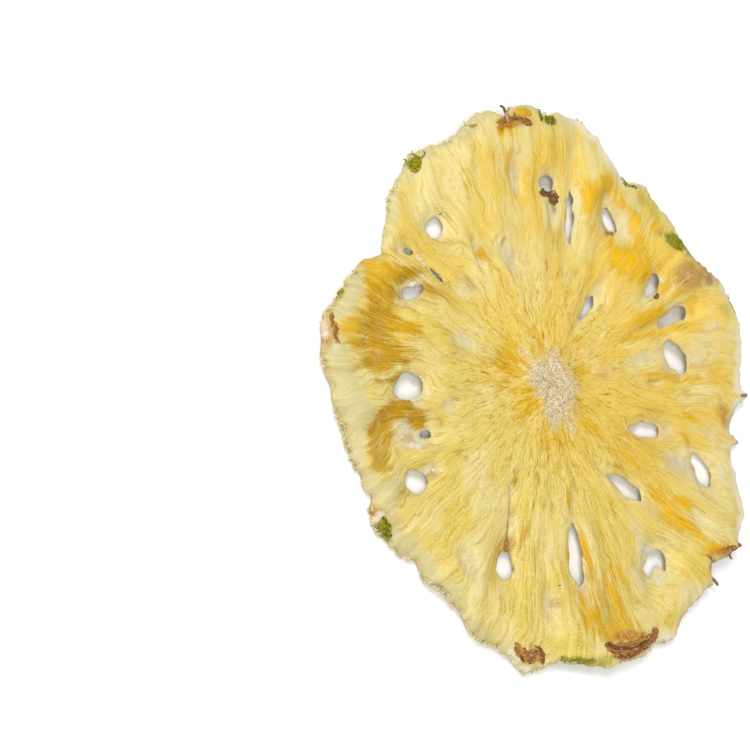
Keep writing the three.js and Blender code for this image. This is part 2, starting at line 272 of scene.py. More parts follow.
# (x, y, half length, half width, bearing, height): swollen and sunken places
SWELLS = [
    (-33, 12, 7, 4, 20, -1.2), (-30, 22, 4.5, 3.5, 60, -0.7), (-34.5, -4.5, 4, 4, 70, -1.2),
    (-28.5, 0.5, 4, 1.5, 10, 0.5), (20, 31, 4, 2.2, 40, 0.9), (25, 17.5, 6, 2.8, -10, 1),
    (24, 8, 6, 1.6, 8, 0.6), (27.5, 25.5, 4, 1.8, -50, 0.7), (37.5, 13, 3.2, 2.2, 20, 1),
    (33, 27, 3, 2.4, -45, -0.4), (3.5, -36, 6, 2, -88, -0.5), (19.5, -24, 8, 1.6, -52, -0.5),
    (-36, 20, 4, 2, 50, 0.4), (30, -30, 5, 3, -45, 0.4), (5.5, -44.6, 5, 1.4, 0, 0.8),
    (-16.3, -41.2, 3, 1.5, -25, 0.6), (3.8, 43.6, 3.5, 1.2, 5, 0.5),
]


def blob(x, y, feature):
    """1 in the middle of a soft oval patch, fading to 0."""
    along, across = seen_from(x, y, feature)
    return np.exp(-(along / feature[2]) ** 2 - (across / feature[3]) ** 2)


def middle_and_thickness(x, y):
    distance, turn = np.hypot(x, y), np.arctan2(y, x)
    bearing = np.degrees(turn)
    share = distance / rim_radius(bearing)
    middle = MIDDLE_HEIGHT + station_value(RIM_CURL, bearing) * smoothstep(share, 0.3, 1)
    folds = np.sin(11 * turn + 0.6) * np.sin(4 * turn + 1) + 0.6 * np.sin(19 * turn + 2 * share)
    middle = middle + FOLD_HEIGHT * smoothstep(share, 0.15, 0.6) * folds
    middle = middle + sum(swell[5] * blob(x, y, swell) for swell in SWELLS)
    core, rim = 1 - smoothstep(distance, CORE_RADIUS, CORE_FADE), smoothstep(share, RIM_START, RIM_FULL)
    thickness = FLESH_THICKNESS + (CORE_THICKNESS - FLESH_THICKNESS) * core
    thickness = thickness + (station_value(RIM_THICKNESS, bearing) - FLESH_THICKNESS) * rim
    for chamber in CLOSED_CHAMBERS:
        thickness = thickness * (1 - chamber[6] * np.exp(-0.9 * chamber_reach(x, y, chamber)[0] ** 4))
    for chamber in OPEN_CHAMBERS:
        past = np.maximum(chamber_reach(x, y, chamber)[0] - 1, 0) * min(chamber[2], chamber[3]) / 2
        thickness = thickness * (1 - LIP_LOSS * np.exp(-(past / LIP_REACH) ** 2))
    fall = station_value(RIM_FALL, bearing) * np.clip((share - FALL_START) / (1 - FALL_START), 0, 1) ** 2
    return middle, thickness, fall


core_top = np.dot(middle_and_thickness(0.0, 0.0), (1, 0.5, -1))
print("the core's top is", round(float(core_top), 2), "mm above the table")

# %% [markdown]
# ## The camera
#
# The camera comes early, so that every later step can be looked at. It stands off the slice's face
# by 42 degrees and is turned about its own axis, so that the face looks to the right of the picture.
# Its place follows from where the core shall be in the picture, how far away it is and how it leans.

# %% Camera
LENS = 100.56
SENSOR = 36.0
PICTURE = 750
CORE_IN_PICTURE = (551, 384)
CORE_DISTANCE = 342.0
FACE_LEAN = math.radians(42.1)
FACE_TURN = math.radians(12.0)

focal = LENS / SENSOR * PICTURE
right_of_middle, below_middle = (c - PICTURE / 2 for c in CORE_IN_PICTURE)
to_core = Vector((right_of_middle / focal, -below_middle / focal, -1)).normalized()
across = (Vector((1, 0, 0)) + to_core * -to_core.x).normalized()
upward = (-to_core).cross(across)
facing = across * math.cos(FACE_TURN) + upward * math.sin(FACE_TURN)
face_up = -to_core * math.cos(FACE_LEAN) + facing * math.sin(FACE_LEAN)
face_y = face_up.cross(-to_core).normalized()
face_y = face_y if face_y.y > 0 else -face_y
face_x = face_y.cross(face_up)
# These three are the slice's axes as the camera sees them, so together they turn camera to world
turning = Matrix((face_x, face_y, face_up))
place = Vector((0, 0, core_top)) - turning @ (to_core * CORE_DISTANCE)
camera = bpy.data.objects.new("camera", bpy.data.cameras.new("camera"))
camera.data.lens, camera.data.sensor_width = LENS, SENSOR
camera.data.clip_start, camera.data.clip_end = 0.01, 10
camera.matrix_world = Matrix.Translation(place * MM) @ turning.to_4x4()
bpy.context.scene.collection.objects.link(camera)
bpy.context.scene.camera = camera
print("camera at", [round(c) for c in place], "mm")

# %% [markdown]
# ## Which way the fibres run
#
# Fibres run out from the core to the rim, and part round each open chamber as a stream parts round a
# stone. So each place gets the bearing that its fibre left the core with: its own bearing, bent a
# little by chance, and bent again near each chamber. Everything fibrous is drawn with this bearing.

# %% Fibre bearing
# How strongly the fibres part at a chamber, how many strands leave the core in the first of the
# rings of cells, and how many times this number doubles
PARTING = 0.8
FEWEST_STRANDS, DOUBLINGS = 20, 6


def fibre_bearing(x, y):
    """The bearing in radians at which the fibre through a place leaves the core."""
    distance = np.hypot(x, y) + 0.5
    turn = np.arctan2(y, x)
    for chamber in OPEN_CHAMBERS:
        outward = math.degrees(math.atan2(chamber[1], chamber[0]))
        along, aside = seen_from(x, y, (chamber[0], chamber[1], 0, 0, outward))
        reach = np.exp(-(aside / (0.55 * chamber[3] + 1.2)) ** 2 - (along / (0.6 * chamber[2] + 1.5)) ** 2)
        turn = turn - PARTING * aside / distance * reach
    bend = smoothstep(distance, 4, 22)
    return turn + bend * (0.08 * wander(x, y, 13, 21) + 0.018 * wander(x, y, 4.5, 22))


def fibres(turn, distance, width, length, seed):
    """Radial strands of about one width at every distance, from several rings of more and more cells."""
    total, power = 0, 0
    # Strands are short near the core and long farther out
    outwards = 12 * np.log1p(distance / 12)
    for octave in range(DOUBLINGS):
        around = FEWEST_STRANDS * 2 ** octave
        local_width = 2 * np.pi * distance / around
        weight = np.exp(-1.4 * np.log2(np.maximum(local_width, 0.01) / width) ** 2)
        cell = np.mod(turn / (2 * np.pi), 1) * around
        total = total + weight * lattice(cell, outwards / length + 17 * octave, around, seed + octave)
        power = power + weight ** 2
    return total / np.sqrt(power + 1e-9)


left_at = math.degrees(fibre_bearing(10.0, 0.0))
print("a fibre 10 mm to the right of the middle left it at", round(left_at, 1), "degrees")

# %% [markdown]
# ## The relief
#
# Drying draws the flesh into folds some 2 mm wide, and on these lie finer ridges of single fibre
# bundles, most of all near the core. Where the flesh split it has narrow slits. The core is a grain
# of cut bundle ends, and near the rim the old skin is puckered. Each is a height added to the faces,
# in real millimetres, so that light rakes over true shape.

# %% Relief
# How far the ridges waver to the sides, and over what length
RUFFLE, RUFFLE_LENGTH = 0.6, 1.6
# Inside the first distance the flesh is shaggy, beyond the second it is calm
SHAGGY, CALM = 12, 26
# Heights in calm flesh, and what shaggy flesh adds to each
FOLDS, RIDGES, LINES, CREASES = (0.13, 0), (0.03, 0.08), (0.01, 0.07), (0.08, 0.05)
LUMPS, DENTS, CORE_BUMPS, PUCKERS, SPECKS = 0.03, 0.02, 0.15, 0.07, 0.02
# (x, y, half length, half width, bearing, depth): narrow slits where the flesh split along its fibres
SLITS = [
    (-12.9, -20.6, 3, 0.35, 255, 0.7), (-14.1, -23.7, 1.5, 0.6, 250, 1.1),
    (-8.2, 22.6, 2.6, 0.3, 103, 0.6), (-6.3, 20.2, 1.6, 0.2, 104, 0.3),
    (-18.2, 22.4, 1.5, 0.3, -52, 0.5), (-3.9, 25, 1.6, 0.3, 30, 0.35),
    (-6.2, -14.2, 1.8, 0.25, 73, 0.35), (1.6, -16.6, 2, 0.25, -84, 0.4),
    (-9.4, 15.2, 2, 0.2, 122, 0.25), (12.4, -14.6, 3.2, 0.3, -50, 0.4), (7.6, -24, 3.6, 0.3, -76, 0.35),
    (14.8, -12.6, 2.6, 0.3, -40, 0.35),
]


def shaggy_share(distance):
    return 1 - smoothstep(distance, SHAGGY, CALM)


def ruffled(turn, x, y, amount, seed):
    """The bearing of the fibres with small waves in it."""
    return turn + amount / (np.hypot(x, y) + 1) * wander(x, y, RUFFLE_LENGTH, seed)


def creases(turn, distance, side, width):
    """1 in the middle of a crease between two folds, fading to 0."""
    return np.exp(-(fibres(turn, distance, 2.2, 9, 700 + side) / width) ** 2)


def relief(x, y, side):
    """Height added to a face, and the same as a share from 0, valley, to 1, ridge."""
    distance, bearing = polar(x, y)
    turn = ruffled(fibre_bearing(x, y), x, y, RUFFLE, 23 + side)
    share = distance / rim_radius(bearing)
    shaggy = shaggy_share(distance)
    # The flesh is rougher at the left, where it dried thinnest
    rough = 1.35 - 0.65 * smoothstep(x, -4, 14)
    folds = 0.6 * fibres(turn, distance, 2.6, 7, 100 + side)
    folds = folds + 0.7 * fibres(turn, distance, 1.8, 12, 600 + side)
    ridges = rough * (1 - 1.6 * np.abs(fibres(turn, distance, 1.3, 3.5, 200 + side)))
    fine = rough * fibres(turn, distance, 0.8, 2, 300 + side)
    lumps, dents = wander(x, y, 3.0, 45 + side), wander(x, y, 1.3, 47 + side)
    grain = wander(x, y, 0.8, 41 + side)
    pucker = wander(x, y, 1.8, 43 + side) + 0.6 * wander(x, y, 0.9, 49 + side)
    split = sum(s[5] * blob(x, y, s) for s in SLITS) if side == 0 else 0
    cracks = -rough * creases(turn, distance, side, 0.24)
    fibrous = 0
    for (calm, added), shape in ((FOLDS, folds), (RIDGES, ridges), (LINES, fine), (CREASES, cracks)):
        fibrous = fibrous + (calm + added * shaggy) * shape
    # The core has no folds, and they fade out towards the rim
    flesh = smoothstep(distance, 4.0, 7.5) * (1 - 0.6 * smoothstep(share, 0.84, 0.96))
    patchy = 0.6 + 0.4 * wander(x, y, 7, 31 + side)
    height = flesh * (patchy * fibrous + LUMPS * lumps + DENTS * dents) - split
    height = height + CORE_BUMPS * rough * grain * (1 - smoothstep(distance, 4.5, 6.5))
    height = height + PUCKERS * pucker * smoothstep(share, 0.84, 0.98) + SPECKS * grain
    ridge = 0.55 + 0.3 * folds + (0.12 + 0.16 * shaggy) * (ridges - 0.3)
    ridge = ridge + (0.05 + 0.13 * shaggy) * fine + 0.1 * lumps
    ridge = np.clip(ridge - 0.4 * rough * creases(turn, distance, side, 0.15) - split, 0, 1)
    return height, ridge


ring = relief(20 * np.cos(np.radians(all_round)), 20 * np.sin(np.radians(all_round)), 0)[0]
print("20 mm out the relief goes from", ring.min().round(2), "to", ring.max().round(2), "mm")

# %% [markdown]
# ## The net
#
# A net of even triangles is laid over the plan, and its knots next to an edge are drawn onto that
# edge, so that torn rims stay crisp. Triangles outside the flesh fall away. The net serves for both
# faces, and rows of knots between them make the rim's wall and the lips of the chambers.

# %% Level of the plan
EDGE_TEETH = 0.42


def plan_level(x, y):
    """Millimetres inside the flesh (above 0) or outside it, and the same from the rim alone."""
    distance, bearing = polar(x, y)
    radius = rim_radius(bearing)
    steep = (rim_radius(bearing + 0.5) - rim_radius(bearing - 0.5)) / (radius * math.radians(1))
    rim_x, rim_y = radius * np.cos(np.radians(bearing)), radius * np.sin(np.radians(bearing))
    teeth = 1.6 * np.abs(wander(rim_x, rim_y, 1.1, 51)) + 0.7 * wander(rim_x, rim_y, 2.3, 52) - 1.0
    rim = (radius + EDGE_TEETH * teeth - distance) / np.sqrt(1 + steep ** 2)
    level, moved = rim, torn(x, y)
    for chamber in OPEN_CHAMBERS:
        level = np.minimum(level, chamber_reach(*moved, chamber)[1])
    return level, rim


print("the middle of the core is", plan_level(0.0, 0.0)[0].round(1), "mm inside the flesh")

# %% The net of triangles
STEP = 0.40
REACH = 50.0


def edges_of(triangles):
    return np.concatenate([triangles[:, [0, 1]], triangles[:, [1, 2]], triangles[:, [2, 0]]])


def level_slope(x, y, size=0.05):
    """Which way the plan's level rises, and how fast."""
    dx = (plan_level(x + size, y)[0] - plan_level(x - size, y)[0]) / (2 * size)
    dy = (plan_level(x, y + size)[0] - plan_level(x, y - size)[0]) / (2 * size)
    return dx, dy


def plan_net():
    """Knots and triangles of the plan, with the knots next to an edge drawn onto it."""
    columns, rows = int(2 * REACH / STEP), int(2 * REACH / (STEP * math.sqrt(0.75)))
    j, i = np.mgrid[0:rows, 0:columns].reshape(2, -1)
    x = (i + 0.5 * (j % 2)) * STEP - REACH
    y = j * STEP * math.sqrt(0.75) - REACH
    level = plan_level(x, y)[0]
    j, i = np.mgrid[0:rows - 1, 0:columns - 1].reshape(2, -1)
    a = j * columns + i
    b, c, d = a + 1, a + columns, a + columns + 1
    even = (j % 2 == 0)[:, None]
    first = np.where(even, np.stack([a, b, c], 1), np.stack([a, b, d], 1))
    second = np.where(even, np.stack([b, d, c], 1), np.stack([a, d, c], 1))
    triangles = np.concatenate([first, second])

    # The nearer knot of each edge that crosses the outline
    one, other = edges_of(triangles).T
    crossing = level[one] * level[other] < 0
    one, other = one[crossing], other[crossing]
    snap = np.unique(np.where(np.abs(level[one]) < np.abs(level[other]), one, other))
    for _ in range(3):
        dx, dy = level_slope(x[snap], y[snap])
        pull = plan_level(x[snap], y[snap])[0] / np.maximum(dx ** 2 + dy ** 2, 0.3)
        x[snap] -= np.clip(pull * dx, -STEP / 2, STEP / 2)
        y[snap] -= np.clip(pull * dy, -STEP / 2, STEP / 2)
    level[snap] = 0
    inside = (level[triangles] >= 0).all(1)
    middle = plan_level(x[triangles].mean(1), y[triangles].mean(1))[0] > 0.02
    triangles = triangles[inside & middle]
    used, triangles = np.unique(triangles, return_inverse=True)
    return x[used], y[used], triangles.reshape(-1, 3)


net_x, net_y, net_triangles = plan_net()
print(len(net_x), "knots and", len(net_triangles), "triangles on each face")

# %% [markdown]
# ## Sorting out the edges
#
# An edge that only one triangle uses is a border of the net. Following these borders gives where the
# walls go. A knot whose level from the rim is near 0 belongs to the outer wall, the others to the lip
# of a chamber.

# %% Borders
def borders(triangles):
    """Directed edges that belong to one triangle only."""
    keys = set(map(tuple, edges_of(triangles)))
    return np.array([e for e in keys if (e[1], e[0]) not in keys])


border = np.array(sorted(map(tuple, borders(net_triangles))))
border_knots = np.unique(border)
on_rim = plan_level(net_x[border_knots], net_y[border_knots])[1] < 0.4
print(len(border_knots), "knots on the edges,", int(on_rim.sum()), "of them on the rim")

# %% [markdown]
# ## Knots become points
#
# The top and bottom points get their heights, relief and a rounding towards each edge. Between them
# come the rows of the wall, pushed outwards in the middle as a soft edge is, and the rim's rows also
# carry the puckers of the old skin.

# %% Heights of the knots
RIM_ROUNDING, LIP_ROUNDING = 0.6, 0.4
EDGE_SHARE = 0.45
THINNEST = 0.35
RIM_ROWS, LIP_ROWS = 7, 3
# How far the middle of a wall is pushed out, as a share of its height
RIM_PUSH, LIP_PUSH = 0.10, 0.22
# The puckers of the rim's wall, and the radius at which their widths are true
WALL_PUCKERS, WALL_RADIUS = 0.22, 42


def face_heights(x, y):
    """Top and bottom of the flesh at a place, and its level."""
    level, rim_level = plan_level(x, y)
    middle, thickness, fall = middle_and_thickness(x, y)
    rounding = np.where(rim_level < level + 0.01, RIM_ROUNDING, LIP_ROUNDING)
    edge = np.sqrt(1 - (1 - np.clip(level / rounding, 0, 1)) ** 2)
    half = thickness / 2 * (EDGE_SHARE + (1 - EDGE_SHARE) * edge)
    soften = 0.4 + 0.6 * smoothstep(level, 0.0, 0.6)
    top = middle + half - fall + relief(x, y, 0)[0] * soften
    bottom = np.maximum(middle - half - relief(x, y, 1)[0] * soften, 0)
    return np.maximum(top, bottom + THINNEST), bottom, level


top, bottom, level = face_heights(net_x, net_y)
print("top from", top.min().round(2), "to", top.max().round(2), "mm")

# %% Points, faces and what each point is
def wall_points(knots, rows, swell):
    """Rows of points between the two faces, with what share of the way down each is."""
    dx, dy = level_slope(net_x[knots], net_y[knots])
    size = np.hypot(dx, dy) + 1e-9
    out_x, out_y = -dx / size, -dy / size
    tall = top[knots] - bottom[knots]
    made = []
    for row in range(1, rows + 1):
        down = row / (rows + 1)
        z = top[knots] * (1 - down) + bottom[knots] * down
        push = swell * tall * math.sin(math.pi * down)
        if rows == RIM_ROWS:
            arc = np.arctan2(net_y[knots], net_x[knots]) * WALL_RADIUS
            skin = wander(arc, z * 2.2, 1.8, 61) + 0.6 * wander(arc, z * 1.5, 0.8, 62)
            push = push + WALL_PUCKERS * skin * math.sin(math.pi * down)
        x, y = net_x[knots] + out_x * push, net_y[knots] + out_y * push
        made.append((x, y, z, np.full(len(knots), down)))
    return made


count = len(net_x)
points = [np.stack([net_x, net_y, top], 1), np.stack([net_x, net_y, bottom], 1)]
depth = [np.zeros(count), np.ones(count)]
faces = [net_triangles, net_triangles[:, ::-1] + count]
total = 2 * count
for chosen, rows, swell in ((on_rim, RIM_ROWS, RIM_PUSH), (~on_rim, LIP_ROWS, LIP_PUSH)):
    knots = border_knots[chosen]
    column = np.full(count, -1)
    column[knots] = np.arange(len(knots))
    levels = [np.arange(count)]
    for x, y, z, down in wall_points(knots, rows, swell):
        points.append(np.stack([x, y, z], 1))
        depth.append(down)
        index = np.full(count, -1)
        index[knots] = total + np.arange(len(knots))
        levels.append(index)
        total += len(knots)
    levels.append(np.arange(count) + count)
    mine = border[(column[border[:, 0]] >= 0) & (column[border[:, 1]] >= 0)]
    for upper, lower in zip(levels[:-1], levels[1:]):
        a, b, c, d = upper[mine[:, 0]], upper[mine[:, 1]], lower[mine[:, 0]], lower[mine[:, 1]]
        faces += [np.stack([b, a, c], 1), np.stack([b, c, d], 1)]
points, depth, faces = np.concatenate(points), np.concatenate(depth), np.concatenate(faces)
print(len(points), "points and", len(faces), "triangles")

# %% [markdown]
# ## The mesh
#
# One helper turns arrays of points and faces into a Blender mesh, and a second writes values for
# each point as a named attribute, which the materials read. That is how a material knows where the
# amber valleys are without any picture.

# %% Mesh helpers
def make_mesh(name, points_mm, triangles):
    """A smooth mesh that rides on the slice's body and takes the place of its solid."""
    mesh = bpy.data.meshes.new(name)
    mesh.from_pydata((np.asarray(points_mm) * MM).tolist(), [], np.asarray(triangles).tolist())
    mesh.polygons.foreach_set("use_smooth", np.ones(len(mesh.polygons), bool))
    mesh.update()
    piece = bpy.data.objects.new(name, mesh)
    bpy.context.scene.collection.objects.link(piece)
    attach(piece, BODY)
    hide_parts(NODE)
    return piece


def paint(piece, name, values):
    """Three values for each point, as a vector attribute."""
    attribute = piece.data.attributes.new(name, "FLOAT_VECTOR", "POINT")
    attribute.data.foreach_set("vector", np.asarray(values, np.float32).ravel())


flesh = make_mesh("dried_flesh", points, faces)
print("flesh:", len(flesh.data.polygons), "faces")

# %% [markdown]
# ## Where the colours lie
#
# Where flesh stayed thick with juice it dried to amber, and where fibres stand proud they are pale.
# The amber in creases and gaps is partly painted shade.
# Each patch is an oval along the fibres, with its edge broken up by them. First come the places that
# are amber, then what is left of the old skin, in green, brown and tan, and last the pale places. The
# rim keeps a pale band of under-skin at the left, and a thin ivory edge that is painted light where
# the thin rim lets it through.

# %% Amber places
# (x, y, half length, half width, bearing, strength) of each patch, here and in the next tables
AMBER = [
    # the deep valley and its tails, amber partly as painted shade in the valley
    (-31.6, 11.6, 6.2, 3.4, 80, 1.1), (-30, 19.6, 4, 2.8, 84, 1.05), (-27.4, 13.7, 3.6, 1, -12, 0.9),
    (-36.6, 13.4, 3.6, 3, 5, 0.28), (-31.4, 9.4, 3.2, 1.2, 5, 0.5), (-36.4, 8.6, 3, 1.4, 0, 0.35),
    (-24.6, 13.5, 3, 0.6, -16, 0.7), (-26.8, 18.6, 2.8, 0.8, -25, 0.7), (-26.6, 23.4, 2.8, 1, -20, 0.8),
    (-33.2, 8.6, 2.6, 1.6, 20, 0.9), (-28.6, 10.2, 3, 0.7, 4, 0.6), (-30.8, 17, 3.2, 2.6, 84, 0.9),
    (-35.8, 15.8, 2.4, 1.8, 0, 0.95), (-36.2, 11.9, 2, 1.4, 0, 0.5), (-22.8, 21.6, 3.4, 1.6, 10, 0.75),
    (-25.8, 8.8, 2.4, 1.2, 0, 0.6), (-29.6, 5.8, 1.8, 0.9, 10, 0.8), (-25.4, 20.8, 3, 1.8, 20, 0.7),
    (-39, 14.6, 1.8, 2.2, 0, 0.55), (-19.4, 18.8, 1.8, 1, 0, 0.6), (-24.9, 12.4, 2.2, 0.9, -20, 0.8),
    (-20.6, 21.8, 2, 1, 0, 0.6),
    # round the torn chambers at the left, partly painted shade on the bowl's left wall
    (-33.6, -2, 2.2, 1.5, 55, 1), (-30.2, 1, 2.2, 1.1, 20, 1), (-35.2, -7.2, 2.8, 1.5, 75, 0.9),
    (-27.2, -2, 2.4, 1, -10, 1.1), (-31.8, 1.6, 2.8, 0.9, 10, 0.8), (-35.2, -0.4, 2.2, 1.3, 45, 1.1),
    (-36.9, -3.4, 2.2, 1.4, 70, 1), (-36.8, -6.4, 2, 1.2, 100, 0.6), (-27.6, -0.4, 1.6, 0.9, -30, 1.3),
    (-21.3, -7.2, 1.6, 0.7, 20, 0.7), (-35.6, -9, 1.8, 0.5, 15, 0.5),
    # thick lumps at the upper right
    (19.6, 30.4, 4.2, 2.2, 50, 0.85), (24.6, 17.6, 4.8, 2.6, -8, 1.3), (27.8, 23.4, 4.6, 1.5, 88, 1),
    (25.4, 7.6, 5.4, 1.5, 8, 1.1), (21.2, 20.6, 3.6, 1.4, 75, 0.7), (26.4, 27.4, 2.6, 1, -50, 0.7),
    (17.2, 27.6, 4.6, 1.2, 84, 0.55), (36.6, 8.6, 2.2, 1.6, 60, 1), (33.4, 10.9, 1.8, 0.8, 20, 0.8),
    (23.6, 31.2, 2.4, 1.2, 45, 0.8), (29.6, 4.9, 5.6, 0.8, 2, 0.9), (32.4, 22.6, 2.6, 1.6, 70, 0.6),
    # long streaks between the chambers
    (27.5, -2.9, 6.5, 0.8, -12, 1), (32, -11.2, 3, 0.6, -37, 0.9), (30, -14.5, 2.4, 0.4, -60, 0.8),
    (20.4, -23.8, 7, 0.6, -52, 0.8), (22.6, -25.2, 6, 0.35, -50, 0.7), (12.5, -12, 5, 0.8, -45, 0.7),
    (15.5, -16, 4.5, 0.6, -45, 0.7), (5, -35.5, 5.5, 0.8, -74, 0.55), (-1.8, -38, 3.4, 2.2, 0, 0.4),
    (8.8, -22.5, 3.4, 0.5, -92, 0.7), (2.2, -38.6, 5.6, 4.4, 0, 0.5), (-0.6, -19.4, 2.2, 0.4, -82, 0.8),
    (6, -30, 6, 1.2, -80, 0.4), (19, 4.4, 5, 0.6, 5, 0.6), (-5.9, -14.4, 2, 0.35, 70, 0.9),
    (25.4, -30, 3.4, 0.8, -50, 0.7), (-16.4, -23.8, 3.6, 0.5, 250, 0.7),
    (-11.6, -22, 4.4, 0.4, 250, 0.6), (-22.2, -20, 4, 0.4, 225, 0.5), (1.6, -41.5, 3.2, 2.2, 0, 1.05),
    (-2.9, -39.6, 1.6, 1.4, -85, 0.8), (21.8, -27, 3, 1.4, -50, 1.1), (-2.9, -28.2, 2.6, 0.8, -95, 1.3),
    (1.2, -26.2, 2.8, 1, -88, 1.2), (25.9, 15.2, 2.6, 1.4, 0, 0.6), (3.9, -38.2, 3, 1.2, -85, 0.55),
    (24, -24.4, 2.4, 1, -45, 0.8), (-0.2, -18.4, 3, 0.9, -88, 1), (1.8, -31.2, 3.4, 0.9, -88, 0.8),
    (31.5, 22.5, 1.8, 1.2, 0, 0.5), (12.5, 26.5, 2.4, 0.8, 80, 0.95), (-24.1, 15.2, 2, 0.8, -30, 0.5),
    (26, 15, 2.4, 1.2, 0, 0.4), (-5.8, -3.6, 1.6, 1, 212, 0.8), (-24, -17, 2, 0.6, 215, 0.3),
    (7.6, -33, 2.6, 0.9, -78, 0.8), (36, 4, 2.4, 1.4, 0, 0.9), (-8.4, 36.1, 3, 1.2, 100, 0.4),
    (1.4, 38.1, 2.6, 1.4, 88, 0.5), (37, -8.1, 2.4, 1, -10, 0.5), (27.8, -36.4, 1.8, 1.2, 0, 0.95),
    (41, -14.9, 1.2, 1.2, 0, 0.6), (19.6, -43.8, 1.8, 1.2, 0, 0.7), (-25.8, 25.6, 1.8, 1.2, 0, 0.4),
    (-2.2, -45.9, 2.4, 0.9, 0, 0.8), (-2.4, -35.2, 2.4, 0.8, -92, 0.6), (30.8, 12, 1.8, 0.9, 20, 1),
    (-7.6, 22.9, 1.8, 0.8, 105, 0.9),
    # round the core
    (-6.3, 4, 3.4, 2.4, 155, 0.6), (-5.8, -1.7, 2.6, 0.9, 185, 1), (-0.2, -8.2, 1.5, 0.8, -90, 0.9),
    (8.2, 1, 2.8, 1.2, 10, 0.6), (7.6, -8, 3, 0.7, -52, 0.9), (-6.2, 8.6, 2.8, 2, 125, 0.4),
    # behind the eyes on the rim
    (38.6, -11.2, 3, 1.3, 0, 0.8), (29.2, -33.4, 3.4, 1.2, -10, 1.2), (0.5, 42.3, 1.2, 0.7, 90, 1.2),
    (6.3, 44.8, 2, 1, -8, 1.3), (5.5, -41.6, 3.5, 0.9, 0, 0.6), (2, 42.9, 1.4, 0.6, 0, 0.8),
]
# Places at the left and the bottom where amber is bright gold
GOLD = [
    (-28.4, 24, 5, 2.6, 25, 0.8), (-37.2, 14, 2.4, 3.6, 0, 0.9), (2, -41, 4, 3.6, 0, 0.5),
    (-25.5, 13, 4, 2, -15, 0.4),
]
print(len(AMBER), "amber patches,", len(GOLD), "golden ones")

# %% Green, woody and tan places
# Where the green outer skin is left
GREEN = [
    (-16.8, 38.7, 1.6, 0.9, 55, 1.1), (12.3, 43, 1.4, 0.8, -10, 1.1), (10.2, 44, 1.1, 0.5, 75, 0.9),
    (-4.8, 43.5, 0.8, 0.4, 20, 0.6), (-37, 20.4, 1.2, 0.6, 55, 0.9), (-37.2, -16.4, 1.9, 0.8, -78, 1.1),
    (-8, -43.9, 1.4, 0.5, -35, 0.7), (-4.6, -44.8, 2.2, 0.5, -18, 0.8),
    (27.9, 31.6, 1.2, 0.5, -55, 0.9), (29.9, 30.5, 1.2, 0.4, -20, 0.9),
    (36.1, 19.3, 2.3, 1.3, -45, 1.4), (45.9, 7.2, 1.8, 0.3, -80, 0.8), (-6, -44.5, 3.4, 0.7, -18, 0.7),
    (33.8, 20.8, 2, 1, -45, 0.42),
]
# Where some green lies under the flesh's surface
OLIVE = [
    (32.3, 27.6, 3.4, 1.9, -38, 0.9), (34.6, 20.6, 2.6, 1.9, -45, 1.1), (-2, -45.8, 2.8, 1, 0, 1.3),
    (33.4, 24, 1.6, 2, 0, 0.5), (-39.6, -6, 4.2, 0.9, -80, 0.6), (-6.1, -44.4, 3.4, 0.9, -18, 1),
    (-40.2, -12.5, 3.6, 1.2, -72, 0.7), (-17.6, 36.6, 2.4, 1.2, 60, 0.4),
    (43.6, 6.6, 2.4, 1.6, -80, 0.5), (-34, -21, 3.4, 1.6, -60, 0.4), (-6, -41.8, 4, 1.2, -20, 0.6),
    (11.8, 41.6, 2.2, 1, 0, 0.5), (-36, 18.6, 1.8, 1.6, 50, 0.5), (36.8, -27.6, 2.6, 1, -60, 0.4),
    (2, -40, 4, 4, 0, 0.5),
]
# Brown crusts of the eyes
WOODY = [
    (4.4, -44.6, 4.2, 1.2, -4, 0.8), (-15.2, -41.2, 2.2, 1, -25, 0.8),
    (-39.7, 15.2, 2.3, 0.45, 88, 0.8), (-14, -23.2, 1.6, 0.45, 250, 1),
    (-14.5, -24.2, 0.8, 0.75, 250, 0.9), (32.4, -33.8, 1.8, 0.5, -10, 0.9),
    (27.2, -34.3, 0.9, 0.3, -40, 0.9), (3.4, 43.7, 3.6, 0.35, -4, 0.8),
]
# Where the rim's edge itself is bark
BARK_RIM = [
    (42.2, -12.6, 1.8, 4.6, 8, 1.2), (33.4, -34.4, 1.6, 0.8, -10, 1.2), (28.8, -37.4, 1.6, 3, 10, 1.1),
    (41.8, 14.6, 4.6, 1.6, -48, 0.8), (6, -46.4, 4.6, 1, 0, 0.7), (2.4, 44.4, 2.6, 0.8, 0, 0.9),
]
# Smooth orange rind inside an eye
RIND = [
    (5, -42.9, 3.4, 0.9, -6, 1.2), (8.6, -43.9, 1.6, 0.5, 20, 0.7), (2.2, 42.9, 2.4, 0.8, 0, 0.9),
    (0.5, 42.2, 0.8, 0.6, 90, 0.8), (29.4, -33.8, 3.2, 1, -10, 0.8), (27.8, -36.4, 1.6, 1.2, 0, 0.9),
    (40.2, -11.2, 1.6, 1.4, 0, 0.5), (-14.6, -39.8, 0.9, 0.5, 0, 0.5),
]
